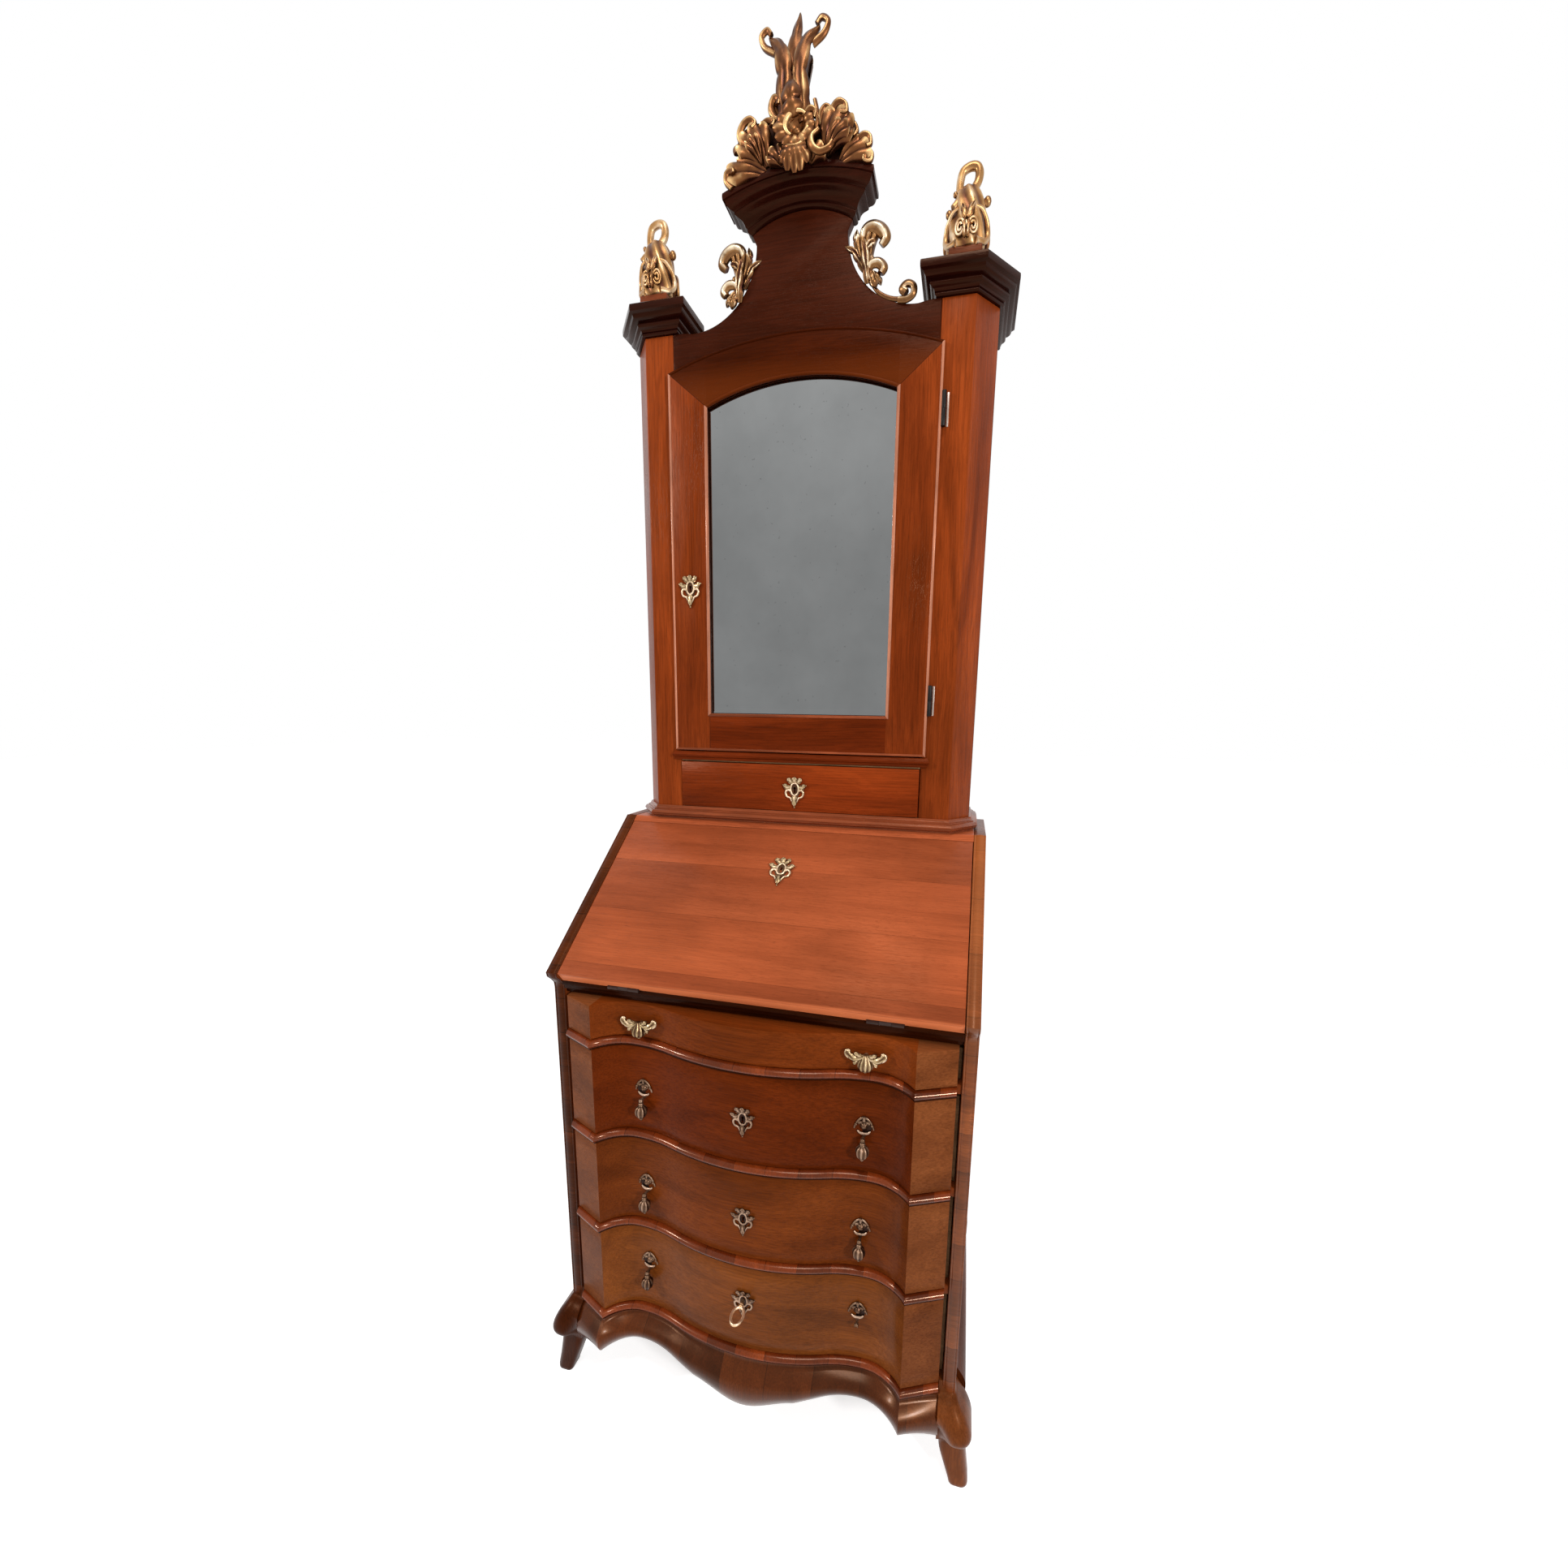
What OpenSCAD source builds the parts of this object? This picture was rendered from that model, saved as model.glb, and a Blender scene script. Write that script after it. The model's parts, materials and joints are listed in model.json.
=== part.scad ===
// Secretary desk: a serpentine chest of drawers, a sloping writing lid and a mirrored cabinet.
// Millimetres. +X is to the right of someone facing the desk, +Y is to the back, +Z is up.
// Modules work from the lid's nose line (Y = 0) and the floor (Z = 0); placed() then moves
// everything so that the origin is under the middle of the whole width and depth.

/* [Chest] */
// Width over the two side boards
case_w = 750; // [710:1:800]
// Depth from the lid's nose to the back of the chest
case_d = 492; // [470:1:540]
// Thickness of the side boards
side_t = 22; // [18:1:26]
// Thickness of the back boards
back_t = 12; // [8:1:16]
// Height of the bottom drawer's floor above the ground
base_h = 183; // [170:1:200]
// Clear height of the bottom drawer's opening
low_open = 174.5; // [150:0.5:190]
// Clear height of the middle drawer's opening
mid_open = 171.5; // [150:0.5:190]
// Clear height of the upper long drawer's opening
high_open = 169; // [150:0.5:190]
// Clear height of the slim drawer's opening under the lid
slim_open = 68; // [60:1:80]
// Thickness of each drawer rail
rail_t = 16; // [12:1:20]
// Depth of each drawer rail behind the nose line
rail_d = 60; // [52:1:80]
// Thickness of the dust boards and the bottom board
dust_t = 10; // [8:1:12]
// Distance of the side boards' front edges behind the nose line
side_set = 22; // [18:1:30]

/* [Serpentine front] */
// Gap between the shaped front's ends and the side boards
end_gap = 4; // [2:0.5:6]
// Width of each canted end panel
panel_w = 66; // [58:1:74]
// Width from each sharp corner to the deepest line of the hollow beside it
turn_w = 68; // [60:1:74]
// Depth of each hollow behind the belly
hollow_d = 35; // [28:1:38]
// Radius of the belly
belly_r = 450; // [420:1:500]
// How far the canted panels fall back at their outer ends
cant_back = 30; // [24:1:34]
// How far the rails' beads stand in front of the nose line
bead_out = 20; // [14:1:26]
// How far the beads stand in front of the drawer fronts
bead_proud = 8; // [5:0.5:10]

/* [Drawers] */
// Clearance above and below each drawer front
front_gap = 1.2; // [0.8:0.1:1.6]
// Flat back of the shaped drawer fronts behind the nose line
front_back = 40; // [34:1:46]
// Thickness of the drawer sides
box_t = 11; // [8:1:14]
// Thickness of the drawer bottoms
floor_t = 8; // [6:1:10]
// Clearance between a drawer box and the case, each side
box_gap = 1.5; // [1:0.1:2.5]
// How much lower a drawer box is than its front
box_drop = 12; // [8:1:16]
// Room left behind each long drawer
box_rear = 20; // [12:1:40]

/* [Base and feet] */
// Height of the front apron's underside at the middle drop
drop_z = 79; // [72:1:88]
// Height of the apron's underside at the shoulders beside the drop
shoulder_z = 100; // [92:1:106]
// Height of the apron's underside at the tops of the arches
arch_z = 120; // [112:1:126]
// Height of the apron's underside under the sharp corners
corner_z = 104; // [98:1:110]
// How far the base swells in front of the drawer fronts
swell = 28; // [22:1:32]
// Height of the small feet under the knees
foot_h = 63; // [55:1:68]

/* [Lid and desk] */
// Thickness of the writing bed at its front rail
bed_t = 25; // [22:1:28]
// Thickness of the writing bed behind its front rail
bed_board = 18; // [14:1:20]
// Thickness of the lid
lid_t = 24; // [20:0.5:25]
// Length of the lid up the slope
lid_l = 366; // [350:1:372]
// Horizontal run of the slope
slope_run = 301; // [290:1:306]
// Rise of the slope
slope_rise = 238; // [225:1:250]
// Thickness of the desk top
top_t = 20; // [16:1:24]
// Clearance around the lid
lid_gap = 1.5; // [1:0.1:2.5]
// Distance of the pigeonholes' front behind the nose line
nest_y = 304; // [300:1:330]
// Thickness of the pigeonhole boards
nest_t = 8; // [6:1:10]
// Clear height of the small drawers' openings
nest_open = 62; // [50:1:75]

/* [Cabinet] */
// Distance of the cabinet's front behind the nose line
cab_set = 306; // [300:1:316]
// Distance of the cabinet's sides inside the chest's sides
cab_inset = 33.5; // [30:0.5:38]
// Width of each canted corner
cant_w = 39; // [34:0.5:42]
// Depth of each canted corner
cant_d = 51; // [45:0.5:56]
// Height of the posts above the door's shoulders
head_h = 69; // [64:1:80]
// Thickness of the posts and cabinet sides
post_t = 18; // [15:1:20]
// Width of each post's flat face beside the door
post_face = 56.5; // [52:0.5:62]
// Height of the base moulding round the cabinet
foot_mould_h = 26; // [22:1:30]
// Clear height of the cabinet drawer's opening
cab_open = 95; // [85:1:105]
// Thickness of the board over the cabinet drawer
shelf_t = 18; // [14:1:20]
// Thickness of the cabinet back
cab_back_t = 10; // [8:1:14]

/* [Door] */
// How far the door laps over its opening
lap = 7.6; // [6:0.2:9]
// How far the door stands in front of the posts
door_out = 8; // [6:0.5:10]
// Depth of the door behind the posts' front
door_in = 14; // [12:1:16]
// Height of the door at its shoulders
door_h = 699; // [670:1:720]
// Rise of the door's arched top
door_rise = 44; // [36:1:52]
// Clearance between the door and the ledge under it
door_gap = 3; // [2:0.5:4]
// Width of the door's stiles
stile_w = 74.9; // [68:0.1:82]
// Width of the door's bottom rail
door_rail = 72; // [60:1:80]
// Width of the door's top rail at the stiles
top_rail = 62; // [54:1:70]
// Rise of the mirror's arched top
sight_rise = 36; // [30:1:44]
// Thickness of the mirror plate
mirror_t = 4; // [3:0.5:5]
// How far the mirror runs behind its frame
rebate = 7; // [5:1:9]

/* [Top] */
// Thickness of the pediment board
ped_t = 18; // [15:1:20]
// Radius of the pediment's side sweeps
sweep_r = 124; // [116:1:130]
// Width of each foot of the pediment between its sweep and the post
ped_foot = 40; // [36:1:48]
// Distance of the finials' middles inside the cabinet's flat front
finial_in = 22.5; // [18:0.5:30]
// Height of the corner capitals
capital_h = 44; // [38:1:50]
// How far the capitals stand out
capital_out = 30; // [24:1:32]
// How far the cap stands in front of the pediment
cap_out = 40; // [34:1:46]
// Height of each finial
finial_h = 160; // [145:1:175]
// Height of the crest above the cap's ends
crest_h = 235; // [200:1:250]

/* [Fittings] */
// Distance of the drop pulls from the deepest line of the hollow
pull_in = 14; // [10:1:20]
// Radius of the drop pulls' pins
pin_r = 1.2; // [1:0.1:1.4]
// Clearance of a pin or shaft in its hole
run = 0.05; // [0.03:0.01:0.08]
// How far a drop hangs in front of its drawer
drop_out = 14; // [13:0.5:16]
// Length of a drop below its pin
drop_l = 42; // [36:1:46]
// Radius of a drop's bell
bell_r = 11.5; // [9:0.5:12]
// Radius of the lid and door hinge knuckles
knuckle_r = 4; // [3.5:0.1:4.5]
// Radius of the lid and door hinge pins
hinge_pin_r = 2; // [1.6:0.1:2.2]
// Radius of the key's shaft
key_r = 3; // [2.5:0.1:3.5]

/* [Hidden] */
$fn = 48;

walnut = "#8a4a26";
dark_wood = "#3a1a12";
lining = "#a9794d";
gilt = "#c8973f";
brass = "#8c6f4a";
iron = "#3b3733";
silver = "#c9ccd0";

half_w = case_w / 2;
inner = half_w - side_t;
front_half = inner - end_gap;
peak_x = front_half - panel_w;
hollow_x = peak_x - turn_w;
back_in = case_d - back_t;
opens = [low_open, mid_open, high_open, slim_open];

// Floor of drawer opening i, counted from the bottom
function level(i) = i == 0 ? base_h : level(i - 1) + opens[i - 1] + rail_t;

bed_low = level(3) + slim_open;
bed_top = bed_low + bed_t;
slope = atan2(slope_rise, slope_run);
hinge_y = lid_t * sin(slope);
nose_z = bed_top + lid_t * cos(slope);
desk_z = nose_z + slope_rise;

// Serpentine line of the front: 0 at the belly and the sharp corners, larger further back
hollow_r = (hollow_x * hollow_x + hollow_d * hollow_d) / (2 * hollow_d) - belly_r;
turn_r = (turn_w * turn_w + hollow_d * hollow_d) / (2 * hollow_d);
join_x = hollow_x * belly_r / (belly_r + hollow_r);
function arc_dip(r, x) = r - sqrt(max(r * r - x * x, 0));
function wave(x) = let (u = abs(x))
    u < join_x ? arc_dip(belly_r, u) :
    u < hollow_x ? hollow_d - arc_dip(hollow_r, u - hollow_x) :
    u < peak_x ? hollow_d - arc_dip(turn_r, u - hollow_x) :
    cant_back * (u - peak_x) / (front_half - peak_x);
half_xs = concat([for (i = [1:6]) join_x * i / 6],
    [for (i = [1:4]) join_x + (hollow_x - join_x) * i / 4],
    [for (i = [1:7]) hollow_x + turn_w * sin(90 * i / 7)], [front_half]);
xs = concat([for (i = [len(half_xs) - 1:-1:0]) -half_xs[i]], [0], half_xs);
function front_line(y) = [for (x = xs) [x, y + wave(x)]];
face_y = bead_proud - bead_out;

// Cabinet levels and its canted outline, p outside the carcass
cab_side = half_w - cab_inset;
cab_half = cab_side - cant_w;
hole_half = cab_half - post_face;
cant_y = cab_set + cant_d;
cant_a = atan2(cant_d, cant_w);
ledge_z = desk_z + foot_mould_h + cab_open;
ledge_up = 3;
ledge_h = 18;
door_z = ledge_z + ledge_up + ledge_h + door_gap;
post_top = door_z + door_h + head_h;
post_h = post_top - desk_z;
pull_x = hollow_x - pull_in;
function outline(p) = [[-cab_half - p * tan(cant_a / 2), cab_set - p],
    [cab_half + p * tan(cant_a / 2), cab_set - p],
    [cab_side + p, cant_y - p * tan(45 - cant_a / 2)], [cab_side + p, case_d],
    [-cab_side - p, case_d], [-cab_side - p, cant_y - p * tan(45 - cant_a / 2)]];

// Pediment, cap and where the carvings stand
dip_x = hole_half - ped_foot;
neck_half = dip_x - sweep_r;
dip_z = post_top - 3;
cap_z = dip_z + sweep_r + 16;
cap_rise = 26;
cap_top_half = neck_half + 8 + cap_out;
cap_top_z = cap_z + 44;
cap_top_rise = 23;
capital_top = post_top + capital_h;
finial_x = cab_half - finial_in;
finial_y = cab_set + 18;

// Depths that set the origin
key_z = level(0) + low_open / 2 + 16;
key_front = face_y - 52;
y_mid = (case_d + key_front) / 2;

// An arch: half width a, spring height z, rise h; points from left to right
function arch(a, z, h, n = 16) = let (r = (a * a + h * h) / (2 * h))
    [for (i = [0:n]) let (x = -a + 2 * a * i / n) [x, z + h - arc_dip(r, x)]];

module placed() translate([0, -y_mid, 0]) children();
module both() {
    children();
    mirror([1, 0, 0]) children();
}
module slab(points, z, h) translate([0, 0, z]) linear_extrude(h) polygon(points);
// Extrudes an outline drawn in X and Z backwards from y, d deep
module upright(y, d) translate([0, y + d, 0]) rotate([90, 0, 0]) linear_extrude(d) children();
// Extrudes an outline drawn in Y and Z along X, from x, w wide
module crosswise(x, w) translate([x, 0, 0]) rotate([90, 0, 90]) linear_extrude(w) children();
module box(low, high) translate(low) cube(high - low);

// A closed skin over rings of points, each ring as long as the next
module skin(rings) {
    n = len(rings[0]);
    m = len(rings);
    points = [for (r = rings) for (p = r) p];
    walls = [for (i = [0:m - 2]) for (j = [0:n - 1]) let (k = (j + 1) % n)
        each [[i * n + j, i * n + k, (i + 1) * n + j], [i * n + k, (i + 1) * n + k, (i + 1) * n + j]]];
    first = [for (j = [n - 1:-1:0]) j];
    last = [for (j = [0:n - 1]) (m - 1) * n + j];
    polyhedron(points, concat([first], walls, [last]), convexity = 8);
}

// --- Chest ---

module side_board() color(walnut) crosswise(inner, side_t)
    polygon([[side_set, base_h], [case_d, base_h], [case_d, desk_z], [slope_run, desk_z],
        [0, nose_z], [2, nose_z - 8], [12, nose_z - 17], [side_set - 2, nose_z - 26],
        [side_set, nose_z - 36]]);
module side_right() placed() side_board();
module side_left() placed() mirror([1, 0, 0]) side_board();

module back_boards() color(lining) placed()
    box([-inner, back_in, base_h], [inner, case_d, desk_z - top_t]);

// The board over the lid: its front edge is cut square to the slope and meets the lid
module desk_top() color(walnut) placed() {
    lip = lid_l + lid_gap;
    lip_y = lip * cos(slope);
    lip_z = nose_z + lip * sin(slope);
    crosswise(-inner, 2 * inner) polygon([[slope_run, desk_z], [lip_y, lip_z],
        [lip_y + lid_t * sin(slope), lip_z - lid_t * cos(slope)],
        [slope_run + 26, lip_z - lid_t * cos(slope)], [slope_run + 26, desk_z - top_t],
        [case_d, desk_z - top_t], [case_d, desk_z]]);
}

hinge_w = 60;
hinge_x = inner - 123;
leaf_l = 30;
leaf_t = 2;
edge_gap = 0.5;

// Room for the three knuckles of each lid hinge
module lid_hinge_room() for (side = [-1, 1])
    translate([side * hinge_x, hinge_y, bed_top]) rotate([0, 90, 0])
        cylinder(r = knuckle_r + 0.4, h = hinge_w + 1, center = true);

module writing_bed() color(walnut) placed() {
    y = hinge_y + edge_gap;
    difference() {
        crosswise(-inner, 2 * inner) polygon([[y, bed_top], [back_in, bed_top],
            [back_in, bed_top - bed_board], [y + 30, bed_top - bed_board], [y + 30, bed_low],
            [y + 11, bed_low], [y + 11, bed_low + 8], [y + 5, bed_low + 8],
            [y + 5, bed_low + 17], [y, bed_low + 17]]);
        lid_hinge_room();
        for (side = [-1, 1]) box([side * hinge_x - hinge_w / 2, hinge_y, bed_top - leaf_t],
            [side * hinge_x + hinge_w / 2, hinge_y + leaf_l, bed_top + 1]);
    }
}

module rail(z, half) {
    tail = [[front_half, side_set], [half, side_set], [half, rail_d],
        [-half, rail_d], [-half, side_set], [-front_half, side_set]];
    slab(concat(front_line(-bead_out + 4), tail), z, rail_t);
    slab(concat(front_line(-bead_out), tail), z + rail_t / 4, rail_t / 2);
}
module drawer_rails() color(walnut) placed() {
    rail(level(0) - rail_t, front_half);
    for (i = [1:3]) rail(level(i) - rail_t, inner);
}

module dust_boards() color(lining) placed() for (i = [0:3]) {
    half = i == 0 ? front_half : inner;
    box([-half, rail_d, level(i) - dust_t], [half, back_in, level(i)]);
}

// Underside of the front apron, with its middle drop, shoulders and arches
function ease(t) = (1 - cos(180 * t)) / 2;
arch_x = hollow_x - 10;
shoulder_x = arch_x - 110;
function apron_z(x) = let (u = abs(x))
    u < shoulder_x ? drop_z + (shoulder_z - drop_z) * ease(u / shoulder_x) :
    u < arch_x ? shoulder_z + (arch_z - shoulder_z) * sin(90 * (u - shoulder_x) / (arch_x - shoulder_x)) :
    u < peak_x ? corner_z + (arch_z - corner_z) * cos(90 * (u - arch_x) / (peak_x - arch_x)) :
    corner_z;
// How far the base swells out, t from its top edge (0) to its underside (1)
swell_steps = [0, 0.1, 0.22, 0.4, 0.6, 0.8, 0.93, 1];
function swell_at(t) = swell * (0.1 + 0.9 * sin(min(1, t / 0.55) * 90)) * (t > 0.6 ? cos((t - 0.6) * 130) : 1);
apron_back = 38;
module apron_front() color(walnut) placed() skin([for (x = xs) let (z1 = level(0) - rail_t)
    concat([for (t = swell_steps) [x, face_y + wave(x) - swell_at(t), z1 - t * (z1 - apron_z(x))]],
        [[x, apron_back, apron_z(x)], [x, apron_back, z1]])]);

// The side aprons run between the knees
knee_d = 60;
side_rise = 18;
module side_apron() {
    n = 10;
    y0 = knee_d;
    y1 = case_d - knee_d;
    skin([for (i = [0:n]) let (y = y0 + (y1 - y0) * i / n, z = corner_z + side_rise * sin(180 * i / n))
        concat([[front_half, y, z], [front_half, y, base_h]],
            [for (t = swell_steps) [half_w + swell_at(t), y, base_h - t * (base_h - z)]])]);
}
module side_aprons() color(walnut) placed() both() side_apron();

// Knee and foot: rings of [z, inner x, outer x, front y, back y]
function knee_rings(front) = let (k = half_w, f = front_half)
    [[base_h, f, k + 2, front + 30, front + 82], [base_h - 14, f, k + 8, front + 25, front + 82],
    [base_h - 34, f, k + 20, front + 12, front + 82], [base_h - 58, f, k + 30, front + 4, front + 82],
    [base_h - 83, f, k + 33, front, front + 82], [foot_h + 18, f + 1, k + 29, front + 4, front + 78],
    [foot_h + 5, f + 4, k + 22, front + 12, front + 70], [foot_h, f + 6, k + 20, front + 22, front + 64],
    [foot_h - 6, f + 7, k + 20, front + 24, front + 62], [0, f + 23, k + 29, front + 18, front + 52]];
function ring(r, n = 4) = let (x0 = r[1], x1 = r[2], y0 = r[3], y1 = r[4], c = min(x1 - x0, y1 - y0) * 0.22)
    [for (q = [[x1 - c, y1 - c, 0], [x0 + c, y1 - c, 90], [x0 + c, y0 + c, 180], [x1 - c, y0 + c, 270]])
        for (i = [0:n - 1]) let (a = q[2] + 90 * i / (n - 1)) [q[0] + c * cos(a), q[1] + c * sin(a), r[0]]];
knee_front = knee_d - 82;
module front_foot() difference() {
    skin([for (r = knee_rings(knee_front)) ring(r)]);
    box([0, -100, -1], [front_half, case_d, base_h + 1]);
}
module feet() color(walnut) placed() both() {
    front_foot();
    translate([0, case_d, 0]) mirror([0, 1, 0]) intersection() {
        translate([0, -knee_front - 22, 0]) front_foot();
        box([0, 0, -1], [case_w, knee_d, base_h + 1]);
    }
}

// --- Desk interior ---

nest_x = inner / 3;
nest_low = bed_top + nest_open;
nest_top = desk_z - top_t - nest_t;
module pigeonholes() color(lining) placed() {
    box([-inner, nest_y, nest_low], [inner, back_in, nest_low + nest_t]);
    box([-inner, slope_run + 26, nest_top], [inner, back_in, nest_top + nest_t]);
    for (side = [-1, 1]) {
        x = side * nest_x;
        box([x - nest_t / 2, nest_y, bed_top], [x + nest_t / 2, back_in, nest_low]);
        for (u = [x, 2 * x])
            box([u - nest_t / 2, slope_run + 26, nest_low + nest_t], [u + nest_t / 2, back_in, nest_top]);
    }
}

module small_drawer() {
    x0 = nest_x + nest_t / 2 + 1;
    x1 = inner - 1;
    y0 = nest_y;
    z0 = bed_top + 0.6;
    z1 = nest_low - 1;
    difference() {
        box([x0, y0, z0], [x1, back_in - 12, z1]);
        box([x0 + 7, y0 + 12, z0 + 5], [x1 - 7, back_in - 19, z1 + 1]);
    }
    translate([(x0 + x1) / 2, y0, (z0 + z1) / 2]) rotate([90, 0, 0]) {
        cylinder(r = 4, h = 8);
        translate([0, 0, 12]) sphere(r = 7);
    }
}
module small_drawer_right() color(walnut) placed() small_drawer();
module small_drawer_left() color(walnut) placed() mirror([1, 0, 0]) small_drawer();

// --- Lid ---

// Lid frame: X across, Y up the slope from the hinge line, Z out of the lid's face
module on_lid() placed() translate([0, hinge_y, bed_top]) rotate([slope, 0, 0]) children();
lid_key_y = lid_l - 96;
module lid() color(walnut) difference() {
    on_lid() difference() {
        box([lid_gap - inner, edge_gap, 0], [inner - lid_gap, lid_l, lid_t]);
        translate([0, lid_key_y, -1]) cylinder(r = 4, h = lid_t + 2);
        for (side = [-1, 1]) box([side * hinge_x - hinge_w / 2, -1, -1],
            [side * hinge_x + hinge_w / 2, leaf_l, leaf_t]);
    }
    placed() lid_hinge_room();
}

knuckle_w = hinge_w / 3;
module knuckle_x(x, w, r = knuckle_r) translate([x, hinge_y, bed_top]) rotate([0, 90, 0])
    cylinder(r = r, h = w, center = true);
module bed_hinges() color(iron) placed() for (side = [-1, 1]) {
    x = side * hinge_x;
    knuckle_x(x, knuckle_w - 0.4);
    knuckle_x(x, hinge_w, hinge_pin_r);
    box([x - knuckle_w / 2 + 0.2, hinge_y, bed_top - leaf_t],
        [x + knuckle_w / 2 - 0.2, hinge_y + leaf_l, bed_top]);
    box([x - hinge_w / 2, hinge_y + knuckle_r + 1, bed_top - leaf_t],
        [x + hinge_w / 2, hinge_y + leaf_l, bed_top]);
}
module lid_hinges() color(iron) difference() {
    union() for (side = [-1, 1]) {
        x = side * hinge_x;
        for (end = [-1, 1]) placed() knuckle_x(x + end * knuckle_w, knuckle_w - 0.4);
        on_lid() {
            for (end = [-1, 1]) box([x + end * knuckle_w - knuckle_w / 2 + 0.2, 0, 0],
                [x + end * knuckle_w + knuckle_w / 2 - 0.2, leaf_l, leaf_t]);
            box([x - hinge_w / 2, knuckle_r + 1, 0], [x + hinge_w / 2, leaf_l, leaf_t]);
        }
    }
    placed() for (side = [-1, 1]) knuckle_x(side * hinge_x, hinge_w + 1, hinge_pin_r + run);
}

// Key plate outline: a keyhole plate with lobes and a tail, drawn upright
module key_plate() {
    difference() {
        union() {
            circle(r = 11);
            for (a = [-30, 22, 90, 158, 210]) rotate(a) translate([13, 0]) circle(r = 6);
            polygon([[-9, -8], [9, -8], [3, -32], [-3, -32]]);
            for (side = [-1, 1]) translate([side * 7, -18]) circle(r = 5);
        }
        keyhole();
    }
}
module keyhole() {
    circle(r = key_r + 1);
    polygon([[-1.8, 0], [1.8, 0], [2.2, -9.5], [-2.2, -9.5]]);
}
plate_t = 2;
module lid_lock() color(brass) on_lid() {
    translate([0, lid_key_y, lid_t]) linear_extrude(plate_t) key_plate();
    difference() {
        box([-36, lid_key_y - 18, -12], [36, lid_l - 6, 0]);
        translate([0, lid_key_y, -13]) cylinder(r = 4, h = 14);
    }
}

// --- Drawers of the chest ---

module front_solid(i, proud = 0)
    slab(concat(front_line(face_y - proud), [[front_half, front_back], [-front_half, front_back]]),
        level(i) + front_gap, opens[i] - 2 * front_gap);
fit_rise = [16, -4, 3, -5];
function fit_z(i) = level(i) + opens[i] / 2 + fit_rise[i];

module long_front(i) color(walnut) placed() difference() {
    front_solid(i);
    if (i < 3) translate([0, 0, fit_z(i)]) upright(face_y - 1, front_back - face_y + 2)
        keyhole();
    if (i == 3) both() slim_stem();
}
box_half = inner - box_gap;
box_y1 = back_in - box_rear;
module long_box(i) color(lining) placed() {
    z0 = level(i) + 0.6;
    z1 = z0 + opens[i] - front_gap - box_drop;
    difference() {
        box([-box_half, front_back, z0], [box_half, box_y1, z1]);
        box([box_t - box_half, front_back - 1, z0 + floor_t], [box_half - box_t, box_y1 - box_t, z1 + 1]);
    }
}
lock_d = 10;
module long_lock(i) color(iron) placed() difference() {
    box([-32, front_back, fit_z(i) - 26], [32, front_back + lock_d, fit_z(i) + 26]);
    translate([0, front_back + 2, fit_z(i)]) rotate([-90, 0, 0]) cylinder(r = 9.5, h = lock_d - 4);
    translate([0, front_back - 1, fit_z(i)]) rotate([-90, 0, 0]) cylinder(r = key_r + run, h = lock_d);
}

// A thin plate that lies on drawer front i, cut to the outline given
module on_front(i, t) intersection() {
    translate([0, 0, fit_z(i)]) upright(face_y - 30, 120) children();
    slab(concat(front_line(face_y - t), [for (j = [len(xs) - 1:-1:0]) [xs[j], face_y + wave(xs[j])]]),
        level(i), opens[i]);
}
pin_drop = 19;
function pull_pin(i) = [pull_x, face_y + wave(pull_x) - drop_out, fit_z(i) - pin_drop];
module pull_plate() {
    circle(r = 13);
    translate([-7, -pin_drop - 6]) square([14, 20]);
}
module pull_post(i) difference() {
    translate(pull_pin(i)) {
        sphere(r = 5);
        rotate([-90, 0, 0]) cylinder(r = 3, h = drop_out);
    }
    translate(pull_pin(i)) box([-1.7, -6, -6], [1.7, 3.6, 6]);
    front_solid(i);
}
module pull_pin_bar(i) translate(pull_pin(i)) rotate([0, 90, 0])
    cylinder(r = pin_r, h = 8, center = true);
module long_brasses(i) color(brass) placed() {
    on_front(i, plate_t) key_plate();
    both() {
        on_front(i, plate_t) translate([pull_x, 0]) pull_plate();
        pull_post(i);
        pull_pin_bar(i);
    }
}
// The hanging drop: an eye on the pin, a collar, a neck and a bell
module drop(i, side) color(brass) placed() translate([side * pull_x, pull_pin(i)[1], pull_pin(i)[2]])
    difference() {
        union() {
            rotate([0, 90, 0]) cylinder(r = 3.2, h = 3, center = true);
            translate([0, 0, -9]) cylinder(r = 1.4, h = 8);
            rotate_extrude() polygon(concat([[0, -7], [5, -7.5], [5, -10], [2.6, -12], [2.8, -16]],
                [for (k = [1:6]) [2.8 + (bell_r - 2.8) * sin(15 * k), -16 - (drop_l - 20) * k / 6]],
                [[bell_r - 1, 1.5 - drop_l], [bell_r - 5, -drop_l], [0, -drop_l]]));
        }
        rotate([0, 90, 0]) cylinder(r = pin_r + run, h = 4, center = true);
    }

module slim_drawer_front() long_front(3);
module slim_drawer_box() long_box(3);
// Each handle: a stem through the front, a hanging leaf and two rising arms with curled ends
stem_r = 4;
module slim_stem() translate([pull_x, face_y + wave(pull_x) - 13, fit_z(3)])
    rotate([-90, 0, 0]) cylinder(r = stem_r, h = 30);
arm_l = 23;
arm_a = 70;
module slim_drawer_handles() color(gilt) placed() both() {
    slim_stem();
    translate([pull_x, face_y + wave(pull_x) - 13, fit_z(3)]) {
        rotate_extrude() polygon([[0, 6], [5, 5], [8, -2], [11.5, -9], [10, -15], [5, -19], [0, -21]]);
        for (end = [-1, 1]) {
            rotate([0, end * arm_a, 0]) cylinder(r = 3, h = arm_l);
            translate([end * arm_l * sin(arm_a), 0, arm_l * cos(arm_a)]) sphere(r = 5);
        }
    }
}
module low_drawer_front() long_front(0);
module low_drawer_box() long_box(0);
module low_drawer_lock() long_lock(0);
module low_drawer_brasses() long_brasses(0);
module mid_drawer_front() long_front(1);
module mid_drawer_box() long_box(1);
module mid_drawer_lock() long_lock(1);
module mid_drawer_brasses() long_brasses(1);
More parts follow.
